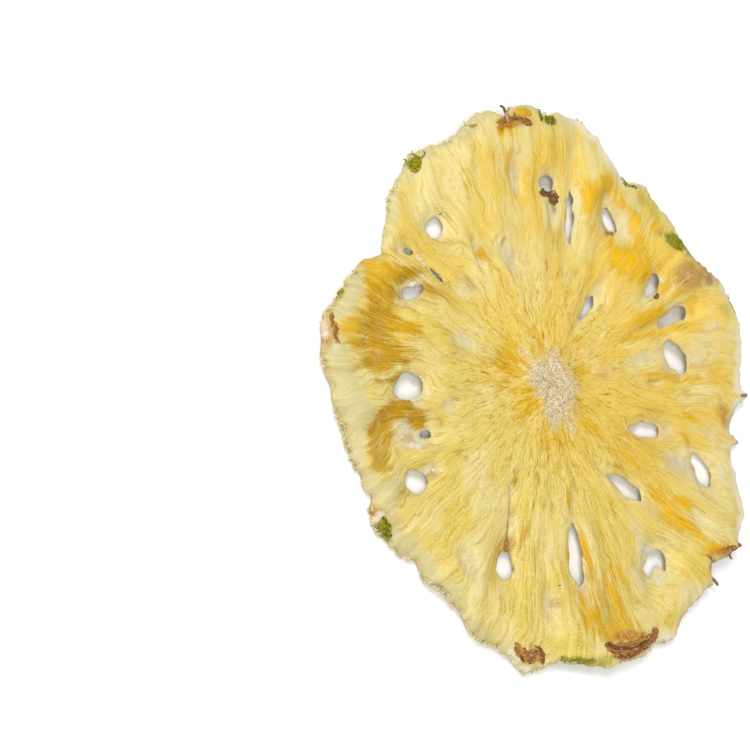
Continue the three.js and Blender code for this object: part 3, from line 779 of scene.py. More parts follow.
# Dull brownish places round the eyes and on thin skin; those in the left valley and on the bowl's left
# wall are painted shade
TAN = [
    (36.2, 13.3, 3.2, 2.6, 15, 1.4), (41.2, 14.6, 4.4, 1.2, -50, 1.2),
    (-13.9, -21.8, 3.2, 0.45, 256, 1), (-14.4, -24, 1.4, 0.8, 250, 0.9),
    (22.3, 23.1, 1.5, 0.5, -10, 0.8), (-8.7, 22.8, 2.2, 0.35, 100, 0.9), (3.6, 43.4, 4, 0.9, -4, 0.9),
    (39.6, -11.6, 1.4, 3.2, 8, 0.8), (30.6, -34.2, 3.6, 1, -8, 0.8), (-36.6, -4.4, 2.6, 0.8, 70, 0.6),
    (-2.9, 24.4, 1.2, 0.5, 60, 0.8), (-22.6, 19.2, 3, 1.6, 10, 0.6), (-28.6, 2.6, 1.6, 0.8, 60, 0.6),
    (-40.6, 14.6, 1.2, 2.6, 0, 0.8), (-38.4, -14.6, 2, 1.6, 35, 1.2), (-31, 14, 3.8, 1.5, 78, 0.55),
    (-33.2, 9, 2.4, 0.9, 20, 0.5), (10.2, 28.6, 1.8, 0.8, 80, 0.8), (-26.8, -9.9, 2, 1.4, 10, 0.8),
    (-10.8, 17.9, 2.2, 1.3, 120, 0.35), (-31, 3.2, 1.6, 1.2, 60, 0.6), (-25.1, 5.5, 0.9, 1.8, 80, 0.7),
    (-13.6, -24.1, 1.6, 0.5, 250, 0.5), (-7.4, -34.6, 1.8, 1.3, 0, 0.75),
    (-19.9, 24.5, 1.6, 0.9, -50, 0.4), (-24.2, 25.4, 1.6, 1, 0, 0.4), (-29.8, -3.6, 2, 1, -14, 0.8),
    (-1.2, 22.1, 2, 0.9, 93, 0.4), (41, 11.8, 1.6, 1.2, -50, 0.7), (-12.4, -17.6, 3.4, 0.25, 257, 0.8),
    (-25.4, 18.2, 1, 1.6, 0, 0.5), (-22.2, 26.2, 1.2, 0.7, -20, 0.5), (-34.6, 0.8, 2.2, 0.6, 40, 0.5),
    (-11.4, 18.6, 1.6, 0.8, -50, 0.4),
]
print(sum(map(len, (GREEN, OLIVE, WOODY, BARK_RIM, RIND, TAN))), "patches of the old skin")

# %% White, clear and cream places
# Dry white skin
CHALK = [
    (-15.6, -43.4, 2.4, 0.5, -20, 0.8), (-18, -41, 1.5, 0.5, -60, 1), (-11.6, -42.4, 1.2, 0.4, 70, 0.8),
    (-40.9, 15.4, 2.6, 0.8, 85, 1), (-40, 12.4, 1.2, 0.8, 60, 0.8), (-38.3, -14.5, 1.6, 0.5, 35, 1.1),
    (-22, 19.9, 1, 0.3, 5, 0.8), (-24.8, 17.6, 1.2, 0.4, 30, 0.6), (-19.4, 23.4, 1.4, 0.5, -50, 0.7),
    (-28.8, -5, 1.8, 0.3, -14, 0.7), (-30.8, -3.2, 0.9, 0.4, -50, 0.6),
    (-26.8, -9.4, 1.2, 0.4, 10, 0.7), (11.2, -46.3, 4.2, 0.7, 4, 0.9), (2, -47.3, 1.8, 0.5, 0, 0.9),
    (-5.9, -32.5, 0.35, 0.3, 0, 1.1), (-29.6, 7.4, 2.4, 0.4, 15, 0.5), (-24.6, 3.4, 0.5, 1.8, 0, 0.4),
    (42.7, -11.9, 0.5, 1.4, 0, 0.9), (16.8, -46.3, 1.6, 0.5, 20, 0.8), (32.5, 30.7, 1.6, 0.5, -45, 0.7),
]
# (bearing, width): the pale band under the old skin
SKIN_BAND = [
    (0, 1), (60, 1), (120, 0.8), (134, 0.3), (146, 1.6), (156, 3.2), (172, 4.5), (188, 5.6), (205, 2.6),
    (235, 1.6), (250, 0.6), (258, -1), (274, -1), (284, 0.6), (300, 1.2),
]
# Places where the flesh dried thin and nearly clear
CLEAR = [
    (13.9, 0, 3, 1.6, 0, 0.45), (25.8, -18.3, 3.8, 2.2, -12, 1), (36.1, -22.4, 2.6, 2, -30, 0.7),
    (21.3, -38.8, 3.2, 2, -60, 0.6), (17.7, 42.4, 2.6, 1.6, -20, 0.7), (33.6, 8.4, 3, 1.2, 10, 0.7),
    (0.8, 19.4, 1.6, 2.6, 0, 0.6), (36, -14, 2.4, 1.8, -20, 0.6), (-33, -23, 3, 2.6, 30, 0.3),
    (39, 3.6, 3.4, 1.6, 10, 0.5), (13.4, -27, 4.2, 1.3, -78, 0.7), (12.2, -33.6, 3.4, 1.6, -86, 0.8),
    (18.8, -29.4, 2.6, 1.2, -40, 0.8), (34.6, -1.2, 2.2, 2.8, 10, 0.7), (10.2, 27.4, 2.6, 0.9, 76, 0.9),
    (16.6, 14, 2.2, 1, 40, 0.7), (-18, -14.6, 3, 3.6, 20, 0.3), (27, -28, 2, 1.2, -45, 0.7),
    (16.6, -34.1, 2.8, 2.2, -70, 1.6), (15.2, -31.2, 2.2, 1.6, -75, 1.5), (31.5, 31, 2, 1.4, -40, 0.9),
    (27.9, 0.9, 2, 2.4, 10, 1.1), (29.6, -20.5, 1.8, 1.2, 0, 0.9), (21.2, 24.8, 2.6, 1.7, 0, 1.1),
    (-10.8, 18, 2.2, 1.4, 120, 0.6), (-26, 5.5, 1, 2, 80, 0.5), (-23, -23.1, 2.2, 1.4, 45, 0.6),
]
# Places where the flesh is cream between golden ones
CREAM = [
    (8.5, 40.5, 2.2, 1.6, 80, 0.8), (-19, 31.6, 3.4, 2.6, 120, 1.2), (-4, 42.2, 2.6, 1.4, 0, 0.9),
    (15.5, 11.2, 2.4, 1.6, 36, 0.9), (14.6, 7.1, 2.6, 1.4, 26, 0.9), (13.9, 0.2, 3.6, 2.2, 0, 1.3),
    (29.9, -2.6, 2.4, 1, -5, 1), (14, 6, 2.6, 1.6, 24, 0.8), (20.6, 34.1, 2.4, 1.8, 60, 0.9),
    (18.4, 37.8, 2.4, 1.8, 64, 0.9), (28.4, 27.4, 2, 1.4, -45, 0.9), (-20.9, -33.1, 2.8, 2, 58, 1),
    (29.4, -16.1, 2.2, 1.2, -29, 0.9), (-17.8, -29.9, 2.8, 1.8, 60, 1),
    (24.5, -9.6, 2.6, 1.2, -21, 0.9), (31.8, -12.6, 2.2, 1.2, -20, 0.8), (41, 7.5, 2.6, 1.8, 10, 0.9),
    (44.9, 3.1, 2.4, 2, 90, 0.9), (-2.2, 17.1, 3, 1.8, 97, 0.9), (20.1, -40, 3, 1.6, 30, 0.9),
    (-20.6, -38.2, 2.2, 1.4, -40, 0.9), (-17.2, -8.1, 3, 1.8, 205, 1), (32.9, 17.4, 1.8, 1, 0, 0.7),
    (-30.9, -26.1, 3, 2, -50, 1.2), (6, 3.8, 2, 1.2, 32, 0.9), (-12.6, 6.8, 2.6, 1.6, 152, 1),
    (-12, 11.1, 2.6, 1.6, 137, 1), (-22.1, -22.9, 2.4, 1.6, 226, 0.9), (26.5, 10.2, 2.2, 1.2, 20, 0.9),
    (11.4, -19.1, 2.6, 1.2, -59, 0.9), (39, -17.1, 2.4, 1.4, 70, 0.9), (36, -20, 3, 2, -29, 0.9),
    (43, -4, 2.4, 2, 90, 1), (25, 35, 3, 1.6, -35, 0.9), (20.8, 26.8, 1.6, 1.2, 0, 0.8),
]
# Thin rim that lets the light through: (bearing, width)
THIN_BAND = [
    (0, 2.2), (8, 1), (18, 1.2), (24, 0.3), (40, 0.3), (50, 1.8), (64, 2.2), (76, 0.3), (160, 0.2),
    (240, 0.2), (262, 0.1), (276, 0.2), (288, 1.8), (294, 0.6), (300, 1.2), (306, 0.3), (314, 0.5),
    (320, 2.2), (332, 1.8), (339, 0.8), (344, 0.8), (350, 2.2),
]
# The core is a leaning oval: (x, y, half length, half width, bearing)
CORE_SHAPE = (0.8, -0.7, 7.2, 4.4, -66)
# Pale rays of the core between the fibres
CORE_RAYS = [(0.9, 6.8, 2.4, 1, 86, 1), (3.4, -7.4, 2.4, 0.8, -66, 1), (-3.2, 4.4, 2.2, 1, 130, 0.8)]
print(sum(map(len, (CHALK, CLEAR, CREAM))), "pale patches")

# %% [markdown]
# ## From places to shares
#
# Each mask below is a share from 0 to 1 at every point, and smooth random values fray its border.
# Left and right differ: the left dried dull and lemon yellow, the right warm and gold. A mask that
# lies over another leaves room for it, as the pale skins do for amber.

# %% Masks of one colour
# Along x, where the flesh is fully cool and fully warm, and where its amber starts and ends to be bright
COOL, WARM = -28, 20
DULL, BRIGHT = -24, 2
# A halo of amber round the core: its strength, radius and half width
HALO, HALO_RADIUS, HALO_WIDTH = 0.42, 8.0, 4.5
# How far in from an edge its own colours reach, and how ragged the border of a patch is
EDGE_MM, RAGGED = 0.7, 0.35


def patches(x, y, features):
    """How far a place is in any of the patches, from 0 to 1.3."""
    return np.clip(sum(f[5] * blob(x, y, f) for f in features), 0, 1.3)


def closed_skin(x, y):
    """Where the grey skin of a closed chamber is."""
    moved = torn(x, y)
    skins = sum(np.exp(-1.1 * chamber_reach(*moved, c)[0] ** 3) * c[6] / 0.5 for c in CLOSED_CHAMBERS)
    return np.clip(skins, 0, 1)


def amber_share(x, y, distance, turn, streak, ridge):
    """Where the flesh is amber: in its patches, round the core, and in creases and gaps, partly as painted
    shade.
    """
    halo = HALO * np.exp(-((distance - HALO_RADIUS) / HALO_WIDTH) ** 2)
    amber = patches(x, y, AMBER) + halo - 0.5 * patches(x, y, CREAM)
    amber = amber + 0.18 * wander(x, y, 4.5, 75) + 0.2 * wander(x, y, 1.6, 77)
    # Creases and the gaps between strands get amber partly as painted shade
    crease = creases(turn, distance, 0, 0.12) * smoothstep(wander(x, y, 6, 83), -0.4, 0.4)
    amber = amber + 0.3 * crease + (0.25 + 0.2 * shaggy_share(distance)) * (streak + 0.5 - ridge)
    return smoothstep(amber, 0.05, 1.45)


def cream_share(x, y, distance, turn, streak, warm):
    """Where the flesh is cream: in its patches, and in broad and fine clouds."""
    cream = 0.58 - 0.3 * shaggy_share(distance) + 0.75 * patches(x, y, CREAM)
    cream = cream + 0.5 * fibres(turn, distance, 3.6, 9, 450) + 0.5 * wander(x, y, 5.5, 78) - 0.12 * warm
    return smoothstep(cream + 0.25 * wander(x, y, 2.0, 79) + 0.15 * streak, 0.2, 1.1)


def core_share(x, y, streak):
    """1 in the core, with some of its rays reaching out between the fibres."""
    along, across = seen_from(x, y, CORE_SHAPE)
    oval = np.hypot(along / CORE_SHAPE[2], across / CORE_SHAPE[3]) - 0.45 * patches(x, y, CORE_RAYS)
    return 1 - smoothstep(oval + 0.35 * streak + 0.14 * wander(x, y, 0.9, 72), 0.7, 1.25)


print("core share in its middle:", float(core_share(0.0, 0.0, 0)))

# %% All masks
def colour_masks(x, y, ridge):
    """Every mask by name, at places whose relief has the given share of a ridge."""
    distance, bearing = polar(x, y)
    turn = fibre_bearing(x, y)
    level, from_rim = plan_level(x, y)
    streak = fibres(ruffled(turn, x, y, 0.5, 76), distance, 1.2, 5, 400)
    ragged = RAGGED * wander(x, y, 0.8, 73)
    at_edge = np.exp(-(np.maximum(from_rim, 0) / EDGE_MM) ** 2)
    lower = np.minimum(y + 8, 0)
    warm = smoothstep(x + 0.3 * y + 0.9 * lower + 6 * wander(x, y, 16, 74), COOL, WARM)
    bright = smoothstep(x + 0.4 * lower + 4 * wander(x, y, 8, 87), DULL, BRIGHT)
    bright = np.clip(bright + patches(x, y, GOLD), 0, 1)
    amber = amber_share(x, y, distance, turn, streak, ridge)

    # Skins of closed chambers, thin lips of open ones and clear flesh are pale
    lip = np.exp(-(np.where(level < from_rim - 0.05, level, 9) / EDGE_MM) ** 2) * (0.2 + 0.25 * warm)
    clear = patches(x, y, CLEAR) * (1 + 0.5 * wander(x, y, 1.2, 82)) * (1 - 0.6 * amber)
    skins = closed_skin(x, y) * smoothstep(0.95 - amber, 0, 0.6)
    pale = np.maximum(np.maximum(skins, lip * (1 - 0.8 * amber)), clear)
    pale = pale * np.clip(0.75 + 0.45 * streak, 0, 1)

    # Marks of the old skin
    green = smoothstep(patches(x, y, GREEN) + ragged, 0.3, 0.75)
    olive = smoothstep(patches(x, y, OLIVE) + 0.3 * streak + 0.5 * ragged, 0.1, 1.0)
    woody = smoothstep(patches(x, y, WOODY) + patches(x, y, BARK_RIM) * at_edge + ragged, 0.3, 0.75)
    # Along the cool left rim's very edge tan is added as painted shade, where the rim turns from the light
    tan = smoothstep(patches(x, y, TAN) + 0.5 * ragged + 0.4 * (1 - warm) * at_edge, 0.15, 1.0)
    chalk = smoothstep(patches(x, y, CHALK) + 1.6 * ragged, 0.3, 0.9)
    orange = smoothstep(patches(x, y, RIND) + 0.6 * ragged, 0.25, 0.9)

    # The rim: under-skin at the left, and a thin ivory edge, painted light where the thin rim lets it
    # through
    inward = from_rim - station_value(SKIN_BAND, bearing) + 0.9 * wander(x, y, 2.2, 71)
    skin = (1 - smoothstep(inward, -1.4, 1.4)) * (1 - 0.9 * smoothstep(amber, 0.0, 0.7))
    band = station_value(THIN_BAND, bearing)
    thin_rim = from_rim - band + 0.5 * wander(x, y, 1.6, 86)
    cream = cream_share(x, y, distance, turn, streak, warm)
    # Where the thin rim lets the light through, it is painted cream and ivory, a painted glow
    cream = np.maximum(cream, 0.8 * (1 - smoothstep(thin_rim, -0.5, 2.5)) * (1 - amber))
    rim_glow = (1 - smoothstep(thin_rim, -1.6, 0.6)) * smoothstep(band, 0.3, 1.4)
    # The wall of the rim has more of the flesh's own yellow
    rim_glow = rim_glow * (0.4 + 0.6 * smoothstep(from_rim, 0.05, 0.5))
    # edge is the chalky skin's white and the thin rim's painted glow
    edge = np.maximum(0.6 * chalk, 0.7 * rim_glow * (1 - 0.6 * tan))
    return dict(
        ridge=ridge, amber=amber, pale=pale, core=core_share(x, y, streak), skin=skin, warm=warm,
        green=green, woody=woody, tan=tan, cream=cream, edge=edge, olive=olive, orange=orange,
        bright=bright,
    )


middle_masks = colour_masks(0.0, 0.0, 1.0)
print("masks in the middle of the core:", [name for name, share in middle_masks.items() if share > 0.5])

# %% Painting the flesh
# Which masks are painted together, as the three values of one attribute. The last has one to spare
PAINTED = {
    "tone": ("ridge", "amber", "pale"), "zone": ("core", "skin", "warm"),
    "marks": ("green", "woody", "tan"), "blotch": ("cream", "edge", "olive"),
    "gold": ("orange", "bright", "bright"),
}
px, py = points[:, 0], points[:, 1]
ridge = np.where(depth < 0.5, relief(px, py, 0)[1], relief(px, py, 1)[1])
turn = ruffled(fibre_bearing(px, py), px, py, RUFFLE, 23)
mask = colour_masks(px, py, ridge)
paint(flesh, "grain", np.stack([np.cos(turn), np.sin(turn), np.hypot(px, py)], 1))
for name, three in PAINTED.items():
    paint(flesh, name, np.stack([mask[each] for each in three], 1))
print("share of the points that are amber:", round(float((mask["amber"] > 0.5).mean()), 2))

# %% [markdown]
# ## Dried pineapple flesh
#
# Dried fruit is sugar and fibre. Light goes into it half a millimetre and comes out warmer, which is
# subsurface scattering, and the fibres give it a fine silky gloss. The colour goes from cream on the
# ridges through lemon yellow to amber in the valleys, in streaks a third of a millimetre wide. This is
# partly the fibres' own colour and partly painted shade in the valleys.
# The streaks are a noise texture read along the fibres: the point's bearing as a place on a circle,
# and the distance from the core stretched, so that each spot of noise becomes a strand.

# %% Shader helpers
def new_material(name):
    """A material with an empty node tree, and the tree."""
    material = bpy.data.materials.new(name)
    material.use_nodes = True
    material.node_tree.nodes.clear()
    return material, material.node_tree


def surface(tree, **settings):
    """The one shader of a material, joined to its output."""
    shader = add(tree, "ShaderNodeBsdfPrincipled", **settings)
    tree.links.new(shader, tree.nodes.new("ShaderNodeOutputMaterial").inputs["Surface"])


def attribute(tree, name):
    """The three values of a painted attribute."""
    value = add(tree, "ShaderNodeAttribute", 1, attribute_name=name)
    return add(tree, "ShaderNodeSeparateXYZ", _0=value).node.outputs


def ramp(tree, value, low, high, at_low=0.0, at_high=1.0):
    """A value whose span from low to high is spread to another span, and held at its ends."""
    spans = dict(From_Min=low, From_Max=high, To_Min=at_low, To_Max=at_high)
    return add(tree, "ShaderNodeMapRange", Value=value, **spans)


def mix(tree, share, low, high):
    """A value between two others."""
    return add(tree, "ShaderNodeMix", _0=share, _2=low, _3=high)


def blend(tree, share, low, high):
    """A colour between two others."""
    return add(tree, "ShaderNodeMix", 2, data_type="RGBA", _0=share, _6=low, _7=high)


def maths(tree, operation, *values, **settings):
    """What an operation makes of some values."""
    inputs = {f"_{k}": value for k, value in enumerate(values)}
    return add(tree, "ShaderNodeMath", operation=operation, **inputs, **settings)


def noise(tree, size_mm, low, high, **settings):
    """Round spots of noise of about one size, from 0 to 1."""
    place = add(tree, "ShaderNodeTexCoord", 3)
    spots = add(tree, "ShaderNodeTexNoise", Vector=place, Scale=1 / (size_mm * MM), **settings)
    return ramp(tree, spots, low, high)


print("shader helpers ready")

# %% Flesh material: the streaks
# At each distance: the width and length of the streaks, and how much detail they have
STREAKS_MM = [(7, 0.34, 1.8, 2.5), (15, 0.36, 3.0, 2.2), (32, 0.48, 7.0, 2.0)]
# Between which distances the first kind gives way to the second, and the second to the third
INNER_MM, OUTER_MM = (8.5, 12.0), (20.0, 26.0)
# Where the strands start to fade, and where they have faded
FADING_MM = 10.0, 26.0


def streaks(tree):
    """Radial streaks from 0 to 1, and how far out a place is, from 0 to 1."""
    grain = add(tree, "ShaderNodeAttribute", 1, attribute_name="grain")
    apart = add(tree, "ShaderNodeSeparateXYZ", 2, _0=grain)
    kinds = []
    for middle, width, length, detail in STREAKS_MM:
        scale = (middle / width, middle / width, 1 / length)
        scaled = add(tree, "ShaderNodeVectorMath", operation="MULTIPLY", _0=grain, _1=scale)
        settings = dict(Scale=1.0, Detail=detail, Roughness=0.7, Distortion=0.4)
        kinds.append(add(tree, "ShaderNodeTexNoise", Vector=scaled, **settings))
    near = mix(tree, ramp(tree, apart, *INNER_MM), kinds[0], kinds[1])
    both = mix(tree, ramp(tree, apart, *OUTER_MM), near, kinds[2])
    return ramp(tree, both, 0.34, 0.64), ramp(tree, apart, *FADING_MM)


print(len(STREAKS_MM), "kinds of streaks")

# %% Flesh material: the colours
# Each pair is the colour of the gaps between strands and of the strands' crests; the darker gaps are
# partly painted shade
LEFT_FLESH = srgb("#bb9a20"), srgb("#e6d26e")
RIGHT_FLESH = srgb("#c89a12"), srgb("#efd468")
CREAM_FLESH = srgb("#cab456"), srgb("#ebdea2")
# The darker amber at the left is partly painted shade of its valleys
AMBER_LEFT = srgb("#966c00"), srgb("#d0a304")
AMBER_RIGHT = srgb("#cc9800"), srgb("#f0c61c")
# Darker brown deep in the gaps between strands, partly own amber and partly painted shade
GAP_SHADE_AMBER = srgb("#96680a"), srgb("#c49a24")
CORE_GRAIN = srgb("#9c783c"), srgb("#f8eac6")
# The under-skin is darker partly as painted shade, where the rim turns away from the light
UNDER_SKIN = srgb("#b4a76a"), srgb("#d4c998")
MEMBRANE = srgb("#b8ac88"), srgb("#e2dab8")
GREEN_SKIN = srgb("#4c5408"), srgb("#a09a1c")
OLIVE_FLESH = srgb("#a0942c"), srgb("#d2c264")
# White of the chalky skin and of the painted glow of the thin rim
CHALK_AND_GLOW_WHITE = srgb("#ece4d2")
WOODY_SKIN = srgb("#6e3e12"), srgb("#c08a44")
TAN_SKIN = srgb("#8e6826"), srgb("#c8a05c")
ORANGE_RIND = srgb("#945408"), srgb("#cc8e2c")
# White of the painted glints on sugar specks
SUGAR_GLINT = srgb("#fff4d2")
# The sizes of fine grain, clouds and the painted glints of sugar specks
GRAIN_MM, CLOUD_MM, GLINT_MM = 0.30, 1.5, 0.22
# How far light goes into the flesh in red, green and blue, as shares of a length
REACH_OF_LIGHT, LIGHT_MM = (1.0, 0.85, 0.4), 0.4
BUMP_MM = 0.12
print("colours of the flesh ready, for example its amber gaps", [round(c, 3) for c in AMBER_LEFT[0]])

# %% Flesh material: the layers
def flesh_patterns(tree):
    """The patterns that colour and gloss share: strands, specks, their mixture, and the fading."""
    streak, away = streaks(tree)
    speck = noise(tree, GRAIN_MM, 0.3, 0.7, Detail=2.0, Roughness=0.7)
    cloud = noise(tree, CLOUD_MM, 0.32, 0.68, Detail=4.0, Roughness=0.6)
    mottle = mix(tree, 0.5, cloud, speck)
    # Near the core the strands give the pattern, and farther out soft clouds take over
    pattern = mix(tree, ramp(tree, away, 0.0, 1.0, 0.1, 0.35), streak, mottle)
    return streak, away, speck, mottle, pattern


def flesh_material():
    material, tree = new_material("dried_pineapple_flesh")
    ridge, amber, pale = attribute(tree, "tone")
    core, skin, warm = attribute(tree, "zone")
    green, woody, tan = attribute(tree, "marks")
    cream, edge, olive = attribute(tree, "blotch")
    orange, bright, _ = attribute(tree, "gold")
    streak, away, speck, mottle, pattern = flesh_patterns(tree)
    # The thick flesh at the right is smoother
    pattern = mix(tree, ramp(tree, warm, 0.0, 1.0, 0.0, 0.35), pattern, 0.55)
    crest = mix(tree, 0.6, ridge, pattern)
    # Gaps between strands are amber too, partly as painted shade
    gold = ramp(tree, maths(tree, "MULTIPLY_ADD", pattern, -0.9, amber), -0.38, 0.32)
    bright_gold = maths(tree, "MULTIPLY", gold, bright)
    # Deep between the strands the flesh is darker brown, partly its own amber and partly painted shade,
    # most of all near the core
    gap_shade = maths(tree, "MULTIPLY", ramp(tree, streak, 0.32, 0.0), ramp(tree, away, 0.0, 1.0, 1.0, 0.0))

    colour = blend(tree, crest, *LEFT_FLESH)
    layers = [
        (warm, crest, RIGHT_FLESH), (cream, crest, CREAM_FLESH), (gold, crest, AMBER_LEFT),
        (bright_gold, crest, AMBER_RIGHT), (gap_shade, crest, GAP_SHADE_AMBER), (olive, crest, OLIVE_FLESH),
        (pale, mottle, MEMBRANE), (skin, crest, UNDER_SKIN), (core, speck, CORE_GRAIN),
        (tan, mottle, TAN_SKIN), (orange, mottle, ORANGE_RIND), (green, speck, GREEN_SKIN),
        (woody, speck, WOODY_SKIN),
    ]
    for share, shade, pair in layers:
        colour = blend(tree, share, colour, blend(tree, shade, *pair))
    # Chalky skin and the painted glow of the thin rim
    colour = blend(tree, edge, colour, CHALK_AND_GLOW_WHITE)
    # Painted glints of sugar specks dot the dry left side, but neither the rim's skin nor amber has any
    plain = maths(tree, "SUBTRACT", ramp(tree, warm, 0.0, 1.0, 0.62, 0.28), skin)
    plain = maths(tree, "MULTIPLY_ADD", amber, -0.5, plain)
    sugar_glint = noise(tree, GLINT_MM, 0.63, 0.72, Detail=1.0)
    colour = blend(tree, maths(tree, "MULTIPLY", sugar_glint, plain, use_clamp=True), colour, SUGAR_GLINT)

    height, strength = mix(tree, 0.5, pattern, speck), ramp(tree, away, 0.0, 1.0, 0.85, 0.5)
    bump = add(tree, "ShaderNodeBump", Height=height, Strength=strength, Distance=BUMP_MM * MM)
    surface(
        tree, Base_Color=colour, Roughness=ramp(tree, pattern, 0.0, 1.0, 0.6, 0.4), Normal=bump, IOR=1.45,
        Specular_IOR_Level=0.28, Subsurface_Weight=0.25, Subsurface_Radius=REACH_OF_LIGHT,
        Subsurface_Scale=LIGHT_MM * MM,
    )
    return material


flesh.data.materials.append(flesh_material())
print("flesh material made")

# %% [markdown]
# ## Raised strands
#
# Close up, the flesh is shaggy: single bundles of fibre stand a tenth of a millimetre proud, in
# tufts, and catch the light. Each is a thin tapered ridge laid along the fibres. They are traced
# outwards step by step, square to the slope of the fibre bearing, and stop at a chamber.

# %% Tracing strands
# Strands keep off the bare core, the rim's skin and the edges of holes, in millimetres
BARE_CORE, BARE_RIM, BARE_EDGE = 3.6, 2.0, 0.35
# How deep a strand's flanks reach into the flesh, and how far its crest may stand out
SINK, STAND_OUT = 0.05, (0.03, 0.12)


def fibre_direction(x, y, size=0.1):
    """The unit step along the fibre, outwards."""
    across_x = fibre_bearing(x + size, y) - fibre_bearing(x - size, y)
    across_y = fibre_bearing(x, y + size) - fibre_bearing(x, y - size)
    across_x, across_y = (np.mod(a + np.pi, 2 * np.pi) - np.pi for a in (across_x, across_y))
    length = np.hypot(across_x, across_y) + 1e-12
    dx, dy = across_y / length, -across_x / length
    outward = np.sign(dx * x + dy * y)
    return dx * outward, dy * outward


def trace(x, y, knots, step, lean, curl):
    """Places along the fibre from each start. Each strand leans off it by an angle, and curls."""
    rows = [(x, y)]
    for k in range(knots - 1):
        dx, dy = fibre_direction(x, y)
        angle = lean + curl * (k / (knots - 1) - 0.5)
        cos, sin = np.cos(angle), np.sin(angle)
        x, y = x + step * (dx * cos - dy * sin), y + step * (dx * sin + dy * cos)
        rows.append((x, y))
    return np.array(rows).transpose(1, 0, 2)


def strand_starts(count, nearest, farthest, crowding, rng):
    """Starting places between two distances. More crowding brings more of them near the core."""
    distance = nearest + (farthest - nearest) * rng.random(count) ** crowding
    bearing = rng.uniform(0, 2 * np.pi, count)
    x, y = distance * np.cos(bearing), distance * np.sin(bearing)
    keep = wander(x, y, 3.0, 521) + rng.normal(0, 0.5, count) > -0.3
    return x[keep], y[keep]


first_step = [round(float(c), 2) for c in fibre_direction(10.0, 0.0)]
print("10 mm to the right of the middle a strand steps along", first_step)

# %% Strands as a mesh
def three_sided(path_x, path_y, height, thick, lift):
    """A ridge along each path, one after another and knot by knot: points, sides and caps."""
    knots, many = path_x.shape
    way_x, way_y = np.gradient(path_x, axis=0), np.gradient(path_y, axis=0)
    size = np.hypot(way_x, way_y)
    side_x, side_y = -way_y / size * thick / 2, way_x / size * thick / 2
    left = np.stack([path_x + side_x, path_y + side_y, height - SINK], -1)
    crest = np.stack([path_x, path_y, height + lift], -1)
    right = np.stack([path_x - side_x, path_y - side_y, height - SINK], -1)
    ridge_points = np.stack([left, crest, right], 2).transpose(1, 0, 2, 3).reshape(-1, 3)
    first = (np.arange(many) * knots * 3)[:, None]
    base = first[:, :, None] + (np.arange(knots - 1) * 3)[None, :, None]
    quads = np.array([(0, 1, 4, 3), (1, 2, 5, 4), (2, 0, 3, 5)])
    pairs = np.concatenate([quads[:, [0, 3, 2]], quads[:, [0, 2, 1]]]).ravel()
    last = first + (knots - 1) * 3
    caps = np.concatenate([first + np.array([[0, 1, 2]]), last + np.array([[0, 2, 1]])])
    return ridge_points, (base + pairs).reshape(-1, 3), caps


def strand_piece(name, starts, lengths, knots, width, leaning, curling, seed):
    """Many tapered strands as one piece."""
    rng = np.random.default_rng(seed)
    x, y = strand_starts(*starts, rng)
    step = rng.uniform(*lengths, len(x)) / (knots - 1)
    lean, curl = rng.normal(0, leaning, len(x)), rng.normal(0, curling, len(x))
    path_x, path_y = trace(x, y, knots, step, lean, curl)
    height, _, level = face_heights(path_x, path_y)
    bare = (closed_skin(path_x, path_y) + (plan_level(path_x, path_y)[1] < BARE_RIM) >= 0.5).any(0)
    steep = np.abs(np.diff(height, axis=0)).max(0) > 0.5 * step
    on_flesh = ((level > BARE_EDGE) & (np.hypot(path_x, path_y) > BARE_CORE)).all(0)
    clear = on_flesh & ~bare & ~steep
    many = clear.sum()
    taper = np.sin(np.pi * np.linspace(0, 1, knots)[:, None]) ** 0.6
    thick = width * rng.uniform(0.5, 1.3, many) * taper
    lift = rng.uniform(*STAND_OUT, many) * taper - 0.04
    paths = path_x[:, clear], path_y[:, clear], height[:, clear]
    strand_points, sides, caps = three_sided(*paths, thick, lift)
    piece = make_mesh(name, strand_points, np.concatenate([sides, caps]))
    # Flat undersides leave the smooth shading to the two flanks
    smooth = np.zeros(len(piece.data.polygons), bool)
    smooth[:len(sides)] = np.tile([True, True, False], len(sides) // 3)
    piece.data.polygons.foreach_set("use_smooth", smooth)
    # Crests are painted lighter than flanks, a painted highlight, and a strand in an amber place may stay
    # pale
    tint = np.repeat(rng.random(many), knots * 3) * np.tile([0.25, 1, 0.25], many * knots)
    chance = np.repeat(rng.normal(0, 0.3, many), knots * 3)
    mask = colour_masks(*strand_points[:, :2].T, np.full(len(strand_points), 0.8))
    amber = smoothstep(0.85 * mask["amber"] + chance, 0.15, 0.95)
    paint(piece, "strand", np.stack([tint, amber, mask["warm"]], 1))
    print(name + ":", many, "strands,", len(piece.data.polygons), "faces")
    return piece

# %% [markdown]
# ## The strands' material
#
# A bundle of fibre is paler and silkier than the flesh between, so it shines along its crest, and its
# crest is painted lighter than its flanks as a painted highlight. Some are cream and some golden, and
# those in an amber place have taken up its colour.

# %% Strand material
STRAND_LEFT = srgb("#caae40"), srgb("#eadc98")
STRAND_RIGHT = srgb("#d2a828"), srgb("#eeda80")
STRAND_AMBER = srgb("#b27e00"), srgb("#e0ae18")


def strand_material():
    material, tree = new_material("pineapple_fibre_bundle")
    own, amber, warm = attribute(tree, "strand")
    # own holds the painted highlight: lighter crests, darker flanks
    tint = mix(tree, 0.45, own, noise(tree, 0.35, 0.3, 0.7, Detail=2.0))
    colour = blend(tree, tint, *STRAND_LEFT)
    for share, pair in ((warm, STRAND_RIGHT), (amber, STRAND_AMBER)):
        colour = blend(tree, share, colour, blend(tree, tint, *pair))
    surface(tree, Base_Color=colour, Roughness=0.42, Specular_IOR_Level=0.3)
    return material


